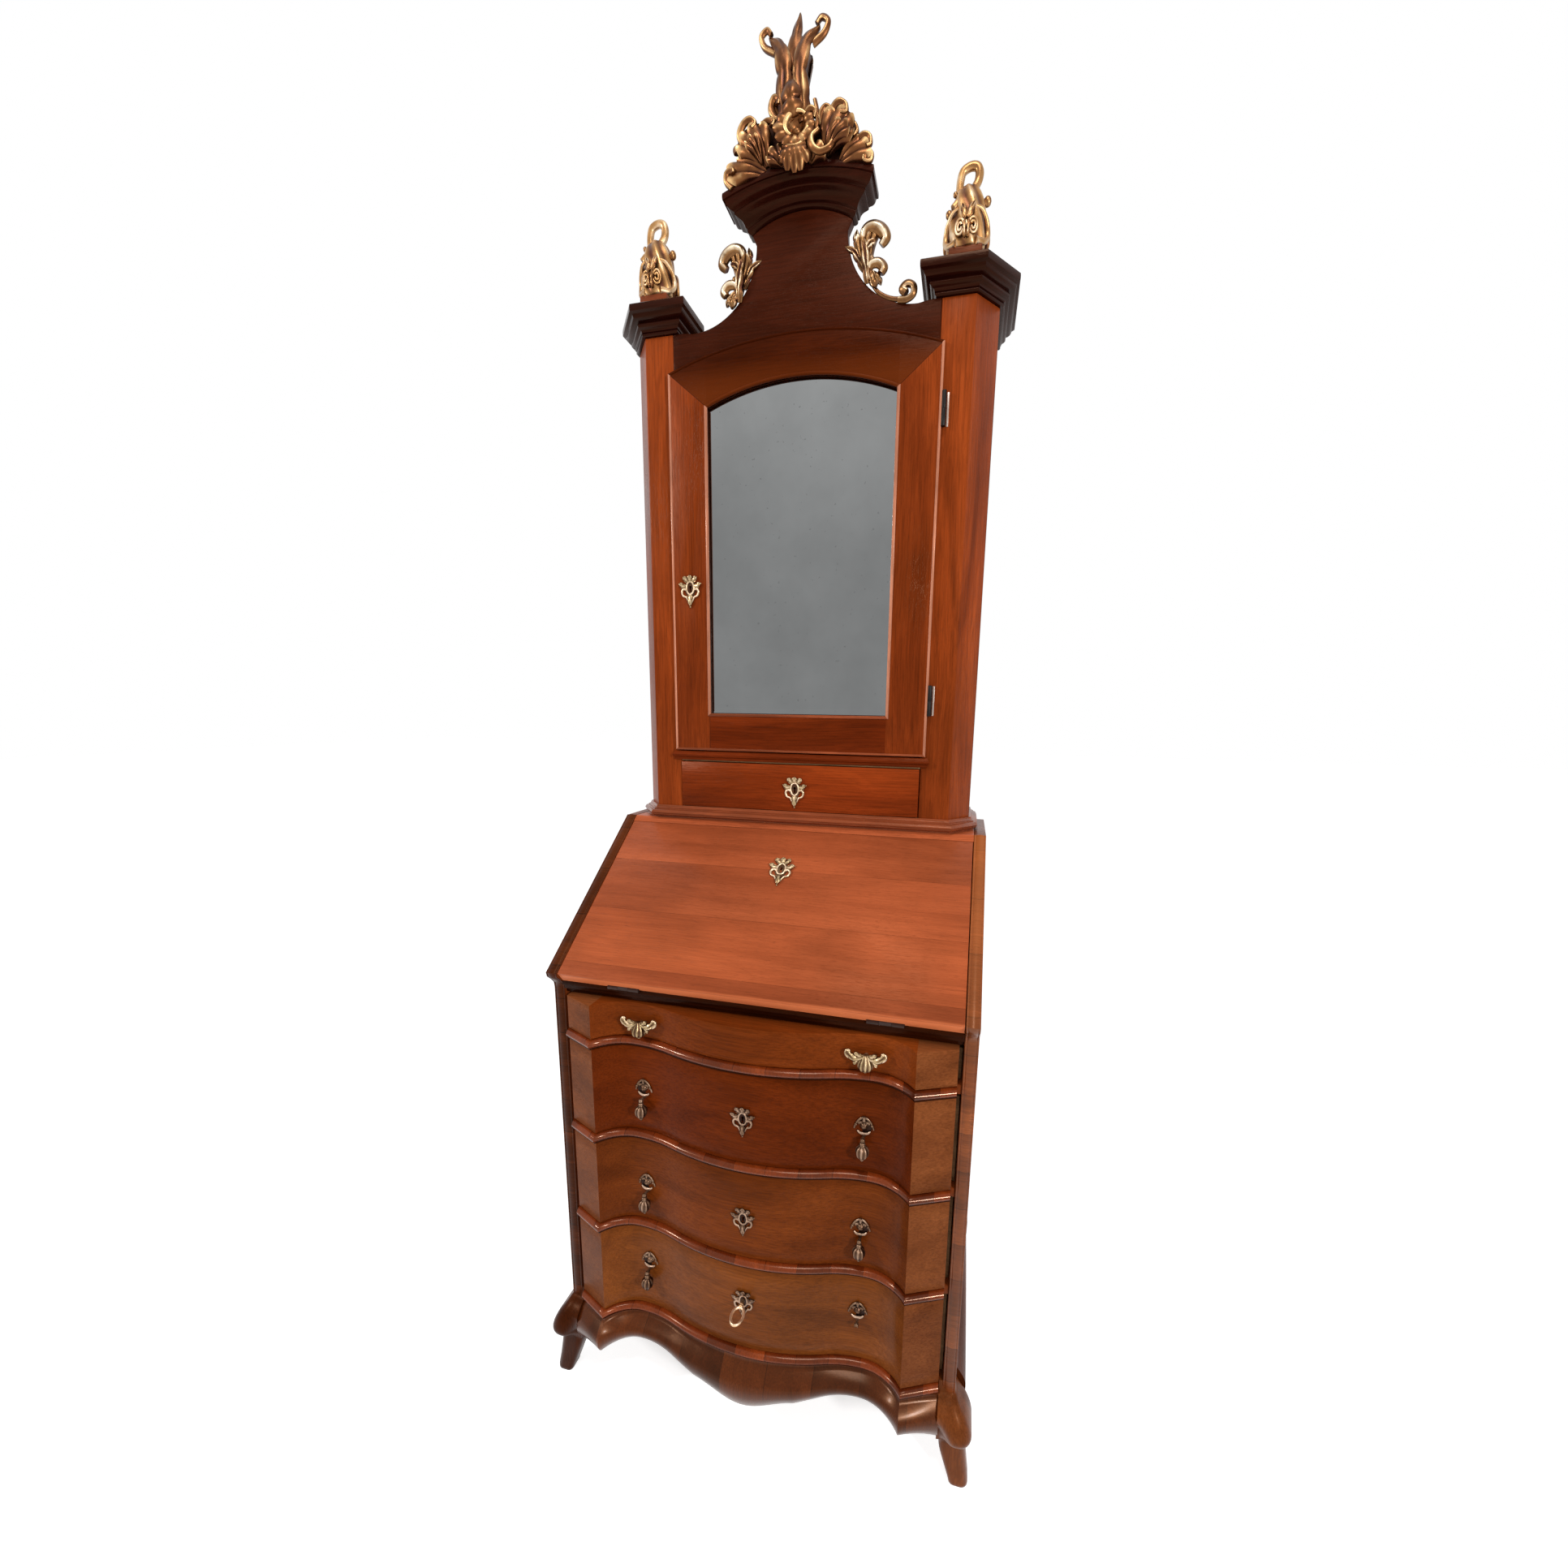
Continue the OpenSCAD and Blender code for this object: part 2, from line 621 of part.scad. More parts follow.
module high_drawer_front() long_front(2);
module high_drawer_box() long_box(2);
module high_drawer_lock() long_lock(2);
module high_drawer_brasses() long_brasses(2);
module low_drop_left() drop(0, -1);
module mid_drop_left() drop(1, -1);
module mid_drop_right() drop(1, 1);
module high_drop_left() drop(2, -1);
module high_drop_right() drop(2, 1);

// The key stands in the bottom drawer's lock, its bow level
bow_r = 13;
module key() color(brass) placed() translate([0, 0, key_z]) {
    translate([0, key_front + bow_r, 0]) difference() {
        cylinder(r = bow_r, h = 5, center = true);
        cylinder(r = bow_r - 4.5, h = 6, center = true);
    }
    difference() {
        translate([0, key_front + bow_r, 0]) rotate([-90, 0, 0])
            cylinder(r = key_r, h = front_back + lock_d - 3 - key_front - bow_r);
        translate([0, key_front + bow_r, 0]) cylinder(r = bow_r - 4.5, h = 8, center = true);
    }
    box([-1, front_back + 3, -8.5], [1, front_back + 7, 0]);
}

// --- Cabinet ---

module cabinet_sides() color(walnut) placed() both()
    box([cab_side - post_t, cant_y, desk_z], [cab_side, case_d, post_top]);

// Inner line of the canted post, post_t inside the outer one
post_in_x = cab_side - post_t / sin(cant_a);
post_bend_x = post_in_x - (cant_d - post_t) / tan(cant_a);
door_x = hole_half + lap + knuckle_r;
door_y = cab_set - door_out + 1;
pintle_l = 28;
pintle_zs = [door_z + 75, door_z + door_h - 76 - 2 * pintle_l];
tang_l = 20;
module corner_post() difference() {
    slab([[hole_half, cab_set], [cab_half, cab_set], [cab_side, cant_y], [post_in_x, cant_y],
        [post_bend_x, cab_set + post_t], [hole_half, cab_set + post_t]], desk_z, post_h);
}
module pintle_rooms() for (z = pintle_zs)
    box([door_x - 2, cab_set - 1, z + 2], [door_x + 2, cab_set + tang_l - 4, z + pintle_l - 6]);
module corner_posts() color(walnut) placed() {
    mirror([1, 0, 0]) corner_post();
    difference() {
        corner_post();
        pintle_rooms();
    }
}

// Floor, partition, two shelves and roof of the cabinet
module full_board(z, h) slab([[-hole_half, cab_set], [hole_half, cab_set],
    [hole_half, cab_set + post_t], [post_bend_x, cab_set + post_t], [post_in_x, cant_y],
    [cab_side - post_t, cant_y], [cab_side - post_t, case_d - cab_back_t],
    [post_t - cab_side, case_d - cab_back_t], [post_t - cab_side, cant_y],
    [-post_in_x, cant_y], [-post_bend_x, cab_set + post_t], [-hole_half, cab_set + post_t]], z, h);
shelf_zs = [door_z + 0.34 * door_h, door_z + 0.67 * door_h];
module cabinet_boards() color(lining) placed() {
    full_board(desk_z, foot_mould_h);
    full_board(ledge_z, shelf_t);
    for (z = shelf_zs) box([post_t - cab_side, cant_y + 2, z],
        [cab_side - post_t, case_d - cab_back_t, z + shelf_t - 4]);
    difference() {
        full_board(post_top - post_t, post_t);
        box([-hole_half - 1, cab_set - 1, desk_z], [hole_half + 1, cab_set + ped_t, post_top + 1]);
    }
}
module cabinet_back() color(lining) placed()
    box([post_t - cab_side, case_d - cab_back_t, desk_z], [cab_side - post_t, case_d, post_top]);

// Moulding round the cabinet's foot: steps of [height up, height, projection]
module cabinet_moulding() color(walnut) placed() difference() {
    union() for (s = [[0, 0.14, 6], [0.12, 0.2, 13], [0.3, 0.34, 16], [0.62, 0.18, 11], [0.78, 0.22, 4]])
        slab(outline(s[2]), desk_z + s[0] * foot_mould_h, s[1] * foot_mould_h);
    slab(outline(0), desk_z - 1, foot_mould_h + 2);
}

module door_ledge() color(walnut) placed() {
    z = ledge_z + ledge_up;
    box([-hole_half - 15, cab_set - 6, z], [hole_half + 15, cab_set, z + ledge_h]);
    box([-hole_half - 17, cab_set - 10, z + 6], [hole_half + 17, cab_set, z + ledge_h - 5]);
}

// The cabinet drawer fills the opening over the cabinet floor
cab_key_z = desk_z + foot_mould_h + cab_open / 2;
module cabinet_drawer_front() color(walnut) placed() difference() {
    box([front_gap - hole_half, cab_set - 4, desk_z + foot_mould_h + front_gap],
        [hole_half - front_gap, cab_set + 18, ledge_z - front_gap]);
    translate([0, 0, cab_key_z]) upright(cab_set - 5, 25) keyhole();
}
cab_box_y1 = case_d - cab_back_t - 12;
module cabinet_drawer_box() color(lining) placed() {
    a = hole_half - 4;
    z0 = desk_z + foot_mould_h + 0.6;
    z1 = ledge_z - 12;
    difference() {
        box([-a, cab_set + 18, z0], [a, cab_box_y1, z1]);
        box([box_t - 2 - a, cab_set + 17, z0 + floor_t], [a - box_t + 2, cab_box_y1 - box_t + 2, z1 + 1]);
    }
}
module cabinet_drawer_lock() color(brass) placed() {
    translate([0, 0, cab_key_z]) upright(cab_set - 4 - plate_t, plate_t) key_plate();
    difference() {
        box([-28, cab_set + 18, cab_key_z - 22], [28, cab_set + 27, cab_key_z + 22]);
        translate([0, 0, cab_key_z]) upright(cab_set + 17, 11) keyhole();
    }
}

// --- Door ---

door_half = hole_half + lap;
sight_half = door_half - stile_w;
sight_z = door_z + door_rail;
sight_h = door_h - door_rail - top_rail;
module door_outline(inset) polygon(concat(
    arch(door_half - inset, door_z + door_h - inset, door_rise),
    [[door_half - inset, door_z + (inset > 0 ? 1.5 : 0)], [inset - door_half, door_z + (inset > 0 ? 1.5 : 0)]]));
module sight_outline(grow) polygon(concat(
    arch(sight_half + grow, sight_z + sight_h + grow / 2, sight_rise + grow / 2),
    [[sight_half + grow, sight_z - grow], [-sight_half - grow, sight_z - grow]]));
body_inset = lap + 1.5;
lock_x = -(sight_half + door_half) / 2;
lock_z = door_z + 0.455 * door_h;
module strap_rooms() for (z = pintle_zs)
    box([door_x - knuckle_r - 24, cab_set - door_out + 3, z + pintle_l], [door_x, cab_set - door_out + 5, z + 2 * pintle_l]);
module door_frame() color(walnut) placed() difference() {
    union() {
        upright(cab_set - door_out, door_out - 0.4) door_outline(0);
        upright(cab_set - 1, door_in + 1) door_outline(body_inset);
    }
    upright(cab_set - door_out - 1, door_out + door_in + 2) sight_outline(0);
    upright(cab_set - 0.4, door_in + 1) sight_outline(rebate);
    translate([lock_x, 0, lock_z]) upright(cab_set - door_out - 1, door_out + door_in + 2) keyhole();
    strap_rooms();
    for (z = pintle_zs) translate([door_x, door_y, z - 0.5])
        cylinder(r = knuckle_r + 0.5, h = 2 * pintle_l + 1);
}
module mirror_plate() color(silver) placed() upright(cab_set - 0.4, mirror_t) sight_outline(rebate - 0.5);
module mirror_back() color(lining) placed()
    upright(cab_set - 0.4 + mirror_t, door_in - mirror_t) sight_outline(rebate - 0.5);
module door_lock() color(brass) placed() {
    translate([lock_x, 0, lock_z]) upright(cab_set - door_out - plate_t, plate_t) key_plate();
    difference() {
        box([lock_x - 24, cab_set + door_in, lock_z - 34], [lock_x + 24, cab_set + door_in + 10, lock_z + 34]);
        translate([lock_x, 0, lock_z]) upright(cab_set + door_in - 1, 12) keyhole();
    }
}

// Lift-off hinges: a pintle in the post carries a strap on the door
module door_pintles() color(iron) placed() for (z = pintle_zs) {
    translate([door_x, door_y, z]) {
        cylinder(r = knuckle_r, h = pintle_l - 0.2);
        cylinder(r = hinge_pin_r, h = 2 * pintle_l - 4);
    }
    box([door_x - 2, door_y, z + 2], [door_x + 2, cab_set + tang_l - 4, z + pintle_l - 6]);
}
module door_straps() color(iron) placed() for (z = pintle_zs) difference() {
    union() {
        translate([door_x, door_y, z + pintle_l]) cylinder(r = knuckle_r, h = pintle_l);
        box([door_x - knuckle_r - 24, cab_set - door_out + 3, z + pintle_l],
            [door_x, cab_set - door_out + 5, z + 2 * pintle_l]);
    }
    translate([door_x, door_y, z + pintle_l - 1]) cylinder(r = hinge_pin_r + run, h = pintle_l + 2);
}

// --- Top ---

// The pediment: arched below, two side sweeps to a neck, arched on top under the cap
module pediment_outline() {
    under = arch(hole_half, door_z + door_h - 8, door_rise);
    sweep_z = dip_z + sweep_r;
    sweep = [for (i = [0:12]) let (a = 90 + 90 * i / 12)
        [dip_x + sweep_r * cos(a), sweep_z - sweep_r * sin(a)]];
    right = concat([[hole_half, post_top], [dip_x + ped_foot / 2, post_top]], sweep, [[neck_half + 8, cap_z]]);
    top = arch(neck_half + 8, cap_z, cap_rise);
    polygon(concat(under, right, [for (i = [len(top) - 2:-1:1]) top[i]],
        [for (i = [len(right) - 1:-1:0]) [-right[i][0], right[i][1]]]));
}
module pediment() color(dark_wood) placed() upright(cab_set, ped_t) pediment_outline();

// The cap: arched bands that step out from the pediment, [share of the projection, share of the rise]
module cap_solid() for (s = [[0, 0], [0.3, 0.2], [0.6, 0.42], [0.86, 0.62], [1, 0.8]]) {
    a = neck_half + 8 + s[0] * cap_out;
    low = arch(a, cap_z + s[1] * 44, cap_rise - 6 * s[1]);
    top = arch(cap_top_half, cap_top_z, cap_top_rise, 32);
    upright(cab_set - s[0] * cap_out, ped_t + s[0] * cap_out) intersection() {
        polygon(concat(low, [for (i = [len(top) - 1:-1:0]) top[i]]));
        translate([-a, 0]) square([2 * a, 3000]);
    }
}
module pediment_cap() color(dark_wood) placed() cap_solid();

// Corner capitals: steps of [start, height, projection] as shares, returned along the cabinet's sides
capital_in = hole_half - 6;
function capital_line(p) = [[capital_in - p, cab_set - p], [cab_half + p * tan(cant_a / 2), cab_set - p],
    [cab_side + p, cant_y - p * tan(45 - cant_a / 2)], [cab_side + p, case_d],
    [cab_side - post_t, case_d], [cab_side - post_t, cant_y + 12], [capital_in - p, cant_y + 12]];
module capitals() color(dark_wood) placed() both()
    for (s = [[0, 0.15, 0.15], [0.13, 0.17, 0.4], [0.28, 0.2, 0.5], [0.45, 0.2, 0.7], [0.6, 0.17, 0.9], [0.75, 0.25, 1]])
        slab(capital_line(s[2] * capital_out), post_top + s[0] * capital_h, s[1] * capital_h);

finial_r = finial_h / 5;
module finial() {
    r = finial_r;
    h = finial_h;
    slab([[-0.75 * r, -0.75 * r], [0.75 * r, -0.75 * r], [0.75 * r, 0.75 * r], [-0.75 * r, 0.75 * r]], 0, h / 16);
    translate([0, 0, h / 16]) rotate_extrude() polygon([for (p = [[0, 0], [0.75, 0], [0.62, 0.05],
        [0.53, 0.1], [0.75, 0.15], [1.03, 0.24], [1.03, 0.35], [0.84, 0.46], [0.6, 0.55], [0.4, 0.61],
        [0, 0.61]]) [p[0] * r, p[1] * h]]);
    for (side = [-1, 1]) translate([side * 0.72 * r, 0, 0.59 * h]) sphere(r = 0.22 * r);
    translate([0, 0, h - 0.88 * r]) rotate([90, 0, 0]) difference() {
        cylinder(r = 0.88 * r, h = 0.44 * r, center = true);
        cylinder(r = 0.47 * r, h = r, center = true);
    }
}
module finials() color(gilt) placed() both() translate([finial_x, finial_y, capital_top]) finial();

// The crest: low and high leaves either side of a plume, with a boss in front
crest_t = 32;
function crest_point(p) = [p[0] * cap_top_half, p[1] * crest_h];
module crest() color(gilt) placed() {
    y = cab_set - cap_out + 2;
    seat = arch(cap_top_half, 0, cap_top_rise, 32);
    upright(y, crest_t) translate([0, cap_top_z]) polygon(concat([for (p = [[-1.02, 0.12], [-0.97, 0.2],
        [-0.86, 0.26], [-0.76, 0.28], [-0.85, 0.34], [-0.8, 0.44], [-0.66, 0.51], [-0.48, 0.51],
        [-0.34, 0.48], [-0.4, 0.59], [-0.37, 0.66], [-0.28, 0.69], [-0.34, 0.78], [-0.17, 0.89], [0, 1],
        [0.12, 0.88], [0.18, 0.77], [0.17, 0.69], [0.26, 0.58], [0.32, 0.55], [0.43, 0.58],
        [0.54, 0.57], [0.6, 0.48], [0.71, 0.39], [0.72, 0.31], [0.86, 0.31], [0.92, 0.22],
        [1, 0.17]]) crest_point(p)], [for (i = [len(seat) - 1:-1:0]) seat[i]]));
    translate([0, y + 4, cap_top_z]) {
        translate([-0.03 * cap_top_half, 0, 0.42 * crest_h]) sphere(r = 0.16 * cap_top_half);
        translate([-0.03 * cap_top_half, 0, 0.24 * crest_h]) sphere(r = 0.12 * cap_top_half);
    }
}

// Leaf scrolls lie along the pediment's side sweeps, a plain one and one with a curled tail
module pediment_scrolls() color(gilt) placed() difference() {
    upright(cab_set - 6, ped_t + 4) translate([0, dip_z]) {
        polygon([for (p = [[-68, 20], [-66, 38], [-74, 56], [-85, 66], [-80, 82], [-60, 98], [-58, 106],
            [-70, 118], [-88, 127], [-108, 124], [-118, 112], [-133, 108], [-146, 60], [-96, 20]])
            [-dip_x - p[0] * sweep_r / 124, p[1] * sweep_r / 124]]);
        polygon([for (p = [[-122, 102], [-104, 104], [-98, 118], [-84, 127], [-64, 129], [-48, 122],
            [-46, 110], [-58, 96], [-72, 86], [-77, 74], [-60, 68], [-56, 58], [-65, 46], [-66, 32],
            [-54, 20], [-36, 15], [-30, 27], [-20, 31], [-10, 24], [-5, 12], [-10, 0], [-86, -10],
            [-136, 60]]) [dip_x + p[0] * sweep_r / 124, p[1] * sweep_r / 124]]);
    }
    upright(cab_set - 10, 60) pediment_outline();
}

side_left();
side_right();
back_boards();
desk_top();
writing_bed();
drawer_rails();
dust_boards();
apron_front();
side_aprons();
feet();
pigeonholes();
bed_hinges();
cabinet_sides();
corner_posts();
cabinet_boards();
cabinet_back();
cabinet_moulding();
door_ledge();
pediment();
pediment_cap();
capitals();
finials();
crest();
pediment_scrolls();
door_pintles();
lid();
lid_lock();
lid_hinges();
door_frame();
mirror_plate();
mirror_back();
door_lock();
door_straps();
cabinet_drawer_front();
cabinet_drawer_box();
cabinet_drawer_lock();
slim_drawer_front();
slim_drawer_box();
slim_drawer_handles();
low_drawer_front();
low_drawer_box();
low_drawer_lock();
low_drawer_brasses();
mid_drawer_front();
mid_drawer_box();
mid_drawer_lock();
mid_drawer_brasses();
high_drawer_front();
high_drawer_box();
high_drawer_lock();
high_drawer_brasses();
low_drop_left();
mid_drop_left();
mid_drop_right();
high_drop_left();
high_drop_right();
small_drawer_left();
small_drawer_right();
key();
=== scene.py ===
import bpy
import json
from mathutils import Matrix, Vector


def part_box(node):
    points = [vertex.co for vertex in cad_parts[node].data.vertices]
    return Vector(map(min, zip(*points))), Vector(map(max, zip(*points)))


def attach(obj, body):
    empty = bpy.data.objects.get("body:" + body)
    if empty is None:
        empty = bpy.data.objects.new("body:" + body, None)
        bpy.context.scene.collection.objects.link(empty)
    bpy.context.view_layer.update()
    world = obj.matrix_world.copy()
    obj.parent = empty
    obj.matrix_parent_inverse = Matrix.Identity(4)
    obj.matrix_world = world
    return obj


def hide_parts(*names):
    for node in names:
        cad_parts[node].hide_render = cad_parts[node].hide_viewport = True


bl_info = {
    "name": "Secretary Desk",
    "version": (1, 0, 0),
    "blender": (4, 5, 0),
    "location": "View3D > Sidebar > Desk",
    "description": "Finished pieces, materials and stage of a serpentine secretary desk",
    "category": "Add Mesh",
}

import json
import math

import bpy
from bpy.props import FloatProperty, FloatVectorProperty, PointerProperty
from mathutils import Vector

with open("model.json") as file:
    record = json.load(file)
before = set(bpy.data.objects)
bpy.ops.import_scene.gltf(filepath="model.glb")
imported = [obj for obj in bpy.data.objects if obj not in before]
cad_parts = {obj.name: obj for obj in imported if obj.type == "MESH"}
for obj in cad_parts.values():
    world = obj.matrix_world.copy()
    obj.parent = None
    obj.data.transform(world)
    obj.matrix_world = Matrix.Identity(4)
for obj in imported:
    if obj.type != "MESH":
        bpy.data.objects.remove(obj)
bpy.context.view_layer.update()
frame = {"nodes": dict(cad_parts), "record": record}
nodes = frame["nodes"]
body_of_node = {n: body for body, names in frame["record"]["behaviour"]["bodies"].items() for n in names}

# Lengths below are millimetres: x from the middle, y back from the lid's nose, z from the floor.
CASE_D = 492
NOSE_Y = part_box("back_boards")[1].y - CASE_D / 1000


def at(x, y, z):
    return Vector((x / 1000, y / 1000 + NOSE_Y, z / 1000))


def cad(node):
    """Lowest and highest corners of a CAD node, in millimetres."""
    low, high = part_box(node)
    return [(c.x * 1000, (c.y - NOSE_Y) * 1000, c.z * 1000) for c in (low, high)]


# --- Sizes and colours that a user may change ---

def length(name, text, value, low, high):
    return FloatProperty(name=name, description=text, default=value, min=low, max=high,
                         unit="LENGTH", subtype="DISTANCE")


def colour(name, text, *value):
    return FloatVectorProperty(name=name, description=text, default=value, size=3,
                               min=0, max=1, subtype="COLOR")


class DeskSizes(bpy.types.PropertyGroup):
    edge_ease: length("Edge easing", "How far worn edges of boards are rounded", 0.0012, 0.0003, 0.003)
    band_block: length("Banding block", "Length of one block of cross-banded veneer", 0.062, 0.02, 0.12)
    reed_rise: length("Reed height", "How far the reeds stand on the side boards' edges", 0.0016, 0.0005, 0.003)
    lip: length("Door lip", "Radius of the half-round lips on the door", 0.003, 0.001, 0.005)
    mirror_bevel: length("Mirror bevel", "Width of the bevel ground round the mirror", 0.013, 0.004, 0.025)
    leaf_thick: length("Leaf thickness", "Thickness of the carved leaves at their veins", 0.004, 0.002, 0.008)


class DeskColours(bpy.types.PropertyGroup):
    lid_wood: colour("Lid walnut", "Middle tone of the lid", 0.39, 0.084, 0.028)
    drawer_wood: colour("Drawer walnut", "Middle tone of the long drawers", 0.17, 0.034, 0.005)
    cabinet_wood: colour("Cabinet walnut", "Middle tone of the cabinet's front", 0.2, 0.031, 0.005)
    case_wood: colour("Case walnut", "Middle tone of the side boards", 0.19, 0.038, 0.008)
    dark_wood: colour("Dark wood", "Middle tone of the cap and the capitals", 0.02, 0.003, 0.0016)
    pediment_wood: colour("Pediment walnut", "Middle tone of the pediment", 0.045, 0.0075, 0.0025)
    lining_wood: colour("Lining wood", "Middle tone of the plain inner boards", 0.36, 0.2, 0.095)
    gilding: colour("Gilding", "Colour of the gold leaf on the carvings", 0.42, 0.22, 0.08)
    pale_gilding: colour("Pale gilding", "Colour of the gilt handles", 0.5, 0.36, 0.19)
    old_brass: colour("Old brass", "Colour of the pulls and key plates", 0.16, 0.09, 0.052)
    iron: colour("Iron", "Colour of hinges and locks", 0.05, 0.045, 0.04)
    silver: colour("Silvering", "Grey of the mirror", 0.2, 0.205, 0.205)


def sizes():
    return bpy.context.scene.desk_sizes


def colours():
    return bpy.context.scene.desk_colours


# --- Making and finishing meshes ---

def bare():
    if bpy.context.object and bpy.context.object.mode != "OBJECT":
        bpy.ops.object.mode_set(mode="OBJECT")
    bpy.ops.object.select_all(action="DESELECT")


def only(*pieces):
    bare()
    for piece in pieces:
        piece.select_set(True)
    bpy.context.view_layer.objects.active = pieces[0]


def mended(piece):
    """Merges doubles, closes open ends and turns every face outwards."""
    only(piece)
    bpy.ops.object.mode_set(mode="EDIT")
    bpy.ops.mesh.select_all(action="SELECT")
    bpy.ops.mesh.remove_doubles(threshold=1e-6)
    bpy.ops.mesh.fill_holes(sides=0)
    bpy.ops.mesh.select_all(action="SELECT")
    bpy.ops.mesh.normals_make_consistent(inside=False)
    bpy.ops.object.mode_set(mode="OBJECT")
    return piece


def lofted(name, rings, relief=None):
    """A closed skin over rings of points, from a grid whose rows are laid on the rings.
    relief gives each point's height in a carving, from 0 in the hollows to 1 on the ridges; the metals paint it
    dark low down, as patina and painted shade, and pale high up, as painted highlight."""
    rows, cols = len(rings), len(rings[0])
    bare()
    bpy.ops.mesh.primitive_grid_add(x_subdivisions=rows - 1, y_subdivisions=cols, size=1)
    piece = bpy.context.object
    piece.name = piece.data.name = name
    depth = piece.data.attributes.new("relief", "FLOAT", "POINT") if relief else None
    for v in piece.data.vertices:
        i = round((v.co.x + 0.5) * (rows - 1))
        j = round((v.co.y + 0.5) * cols) % cols
        v.co = at(*rings[i][j])
        if relief:
            depth.data[v.index].value = relief[i][j]
    return mended(piece)


def plate(name, outline, y0, y1):
    """A flat board cut to an outline in X and Z."""
    return lofted(name, [[(x, y, z) for x, z in outline] for y in (y0, y1)])


def board(name, x0, x1, z0, z1, y0, y1):
    return plate(name, [(x0, z0), (x1, z0), (x1, z1), (x0, z1)], y0, y1)


def turned(name, profile, centre, steps=24, axis="Z", flutes=0, flute=0.0, twist=0.0):
    """A turned piece: profile of (radius, height), fluted where asked.
    flute is the flutes' depth as a share of the radius, twist their turn in radians per millimetre."""
    rings, relief = [], []
    for r, h in profile:
        ring, tone = [], []
        for k in range(steps):
            a = 2 * math.pi * k / steps
            groove = 0.5 - 0.5 * math.cos(flutes * (a + twist * h)) if flutes else 0
            q = r * (1 - flute * groove)
            u, v = q * math.cos(a), q * math.sin(a)
            x, y, z = (u, v, h) if axis == "Z" else (u, h, v) if axis == "Y" else (h, u, v)
            ring.append((centre[0] + x, centre[1] + y, centre[2] + z))
            # Flute grooves are toned darker: patina and painted shade in the hollows
            tone.append(0.75 - 0.65 * groove if flutes else 0.6)
        rings.append(ring)
        relief.append(tone)
    return lofted(name, rings, relief=relief)


def joined(name, pieces):
    only(*pieces)
    if len(pieces) > 1:
        bpy.ops.object.join()
    piece = bpy.context.object
    piece.name = piece.data.name = name
    return piece


def eased(piece, width=None, steps=2, angle=32):
    """Rounds the sharp edges a little, as wear does."""
    only(piece)
    bevel = piece.modifiers.new("ease", "BEVEL")
    bevel.width = width or sizes().edge_ease
    bevel.segments = steps
    bevel.limit_method = "ANGLE"
    bevel.angle_limit = math.radians(angle)
    bpy.ops.object.modifier_apply(modifier="ease")
    return piece


def cut(piece, *tools):
    for tool in tools:
        only(piece)
        hole = piece.modifiers.new("cut", "BOOLEAN")
        hole.operation = "DIFFERENCE"
        hole.solver = "EXACT"
        hole.object = tool
        bpy.ops.object.modifier_apply(modifier="cut")
        bpy.data.objects.remove(tool)
    return piece


def painted(piece, names, which):
    """Gives a piece several finishes; which picks one by its place in names, from a face's middle x and z."""
    piece.data.materials.clear()
    for name in names:
        piece.data.materials.append(finishes[name])
    for face in piece.data.polygons:
        face.material_index = which(face.center.x * 1000, face.center.z * 1000)


def settled(piece, body, slot, finish, *replaced, angle=38):
    """Gives a finished piece its finish, unless it is painted, and its body, and hides the CAD nodes that it
    stands for.
    Edges sharper than the angle in degrees stay sharp."""
    only(piece)
    bpy.ops.object.shade_smooth_by_angle(angle=math.radians(angle))
    if finish:
        piece.data.materials.clear()
        piece.data.materials.append(finishes[finish])
    if replaced:
        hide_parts(*replaced)
    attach(piece, body)
    return piece


def board_copy(node, width=None, steps=2):
    """A copy of a CAD board, merged into clean faces, its edges eased."""
    source = nodes[node]
    piece = source.copy()
    piece.data = source.data.copy()
    for key in list(piece.keys()):
        if key.startswith("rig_"):
            del piece[key]
    piece.parent = None
    piece.hide_render = piece.hide_viewport = False
    bpy.context.collection.objects.link(piece)
    piece.name = piece.data.name = node + "_board"
    only(piece)
    bpy.ops.object.mode_set(mode="EDIT")
    bpy.ops.mesh.select_all(action="SELECT")
    bpy.ops.mesh.remove_doubles(threshold=2e-6)
    bpy.ops.mesh.dissolve_limited(angle_limit=math.radians(0.5))
    bpy.ops.object.mode_set(mode="OBJECT")
    return eased(piece, width, steps)


def standing_for(nodes_meant, slot, finish, width=None, steps=2):
    """Eased copies of plain CAD nodes, named in one string, each standing for its node."""
    for node in nodes_meant.split():
        settled(board_copy(node, width, steps), body_of_node[node], slot, finish, node)


# --- Materials ---

def add(tree, kind, inputs=None, **settings):
    new = tree.nodes.new("ShaderNode" + kind)
    for key, value in settings.items():
        setattr(new, key, value)
    for key, value in (inputs or {}).items():
        if isinstance(value, bpy.types.NodeSocket):
            tree.links.new(value, new.inputs[key])
        else:
            new.inputs[key].default_value = value
    return new


def maths(tree, operation, a, b=0.0, c=0.0):
    return add(tree, "Math", {0: a, 1: b, 2: c}, operation=operation).outputs[0]


def vectors(tree, operation, a, b):
    other = "Scale" if operation == "SCALE" else 1
    return add(tree, "VectorMath", {0: a, other: b}, operation=operation).outputs[0]


def ramp(tree, factor, *stops):
    """A colour ramp; each stop is (place, colour or grey)."""
    new = add(tree, "ValToRGB", {"Fac": factor})
    bar = new.color_ramp.elements
    while len(bar) < len(stops):
        bar.new(0.5)
    for stop, (place, tone) in zip(bar, stops):
        stop.position = place
        grey = not hasattr(tone, "__len__")
        stop.color = (tone, tone, tone, 1) if grey else (*tone, 1)
    return new.outputs["Color"]


def blend_colour(tree, factor, a, b, how="MIX"):
    new = add(tree, "Mix", {"Factor": factor}, data_type="RGBA", blend_type=how)
    for socket, value in ((new.inputs[6], a), (new.inputs[7], b)):
        if isinstance(value, bpy.types.NodeSocket):
            tree.links.new(value, socket)
        else:
            socket.default_value = (*value, 1)
    return new.outputs[2]


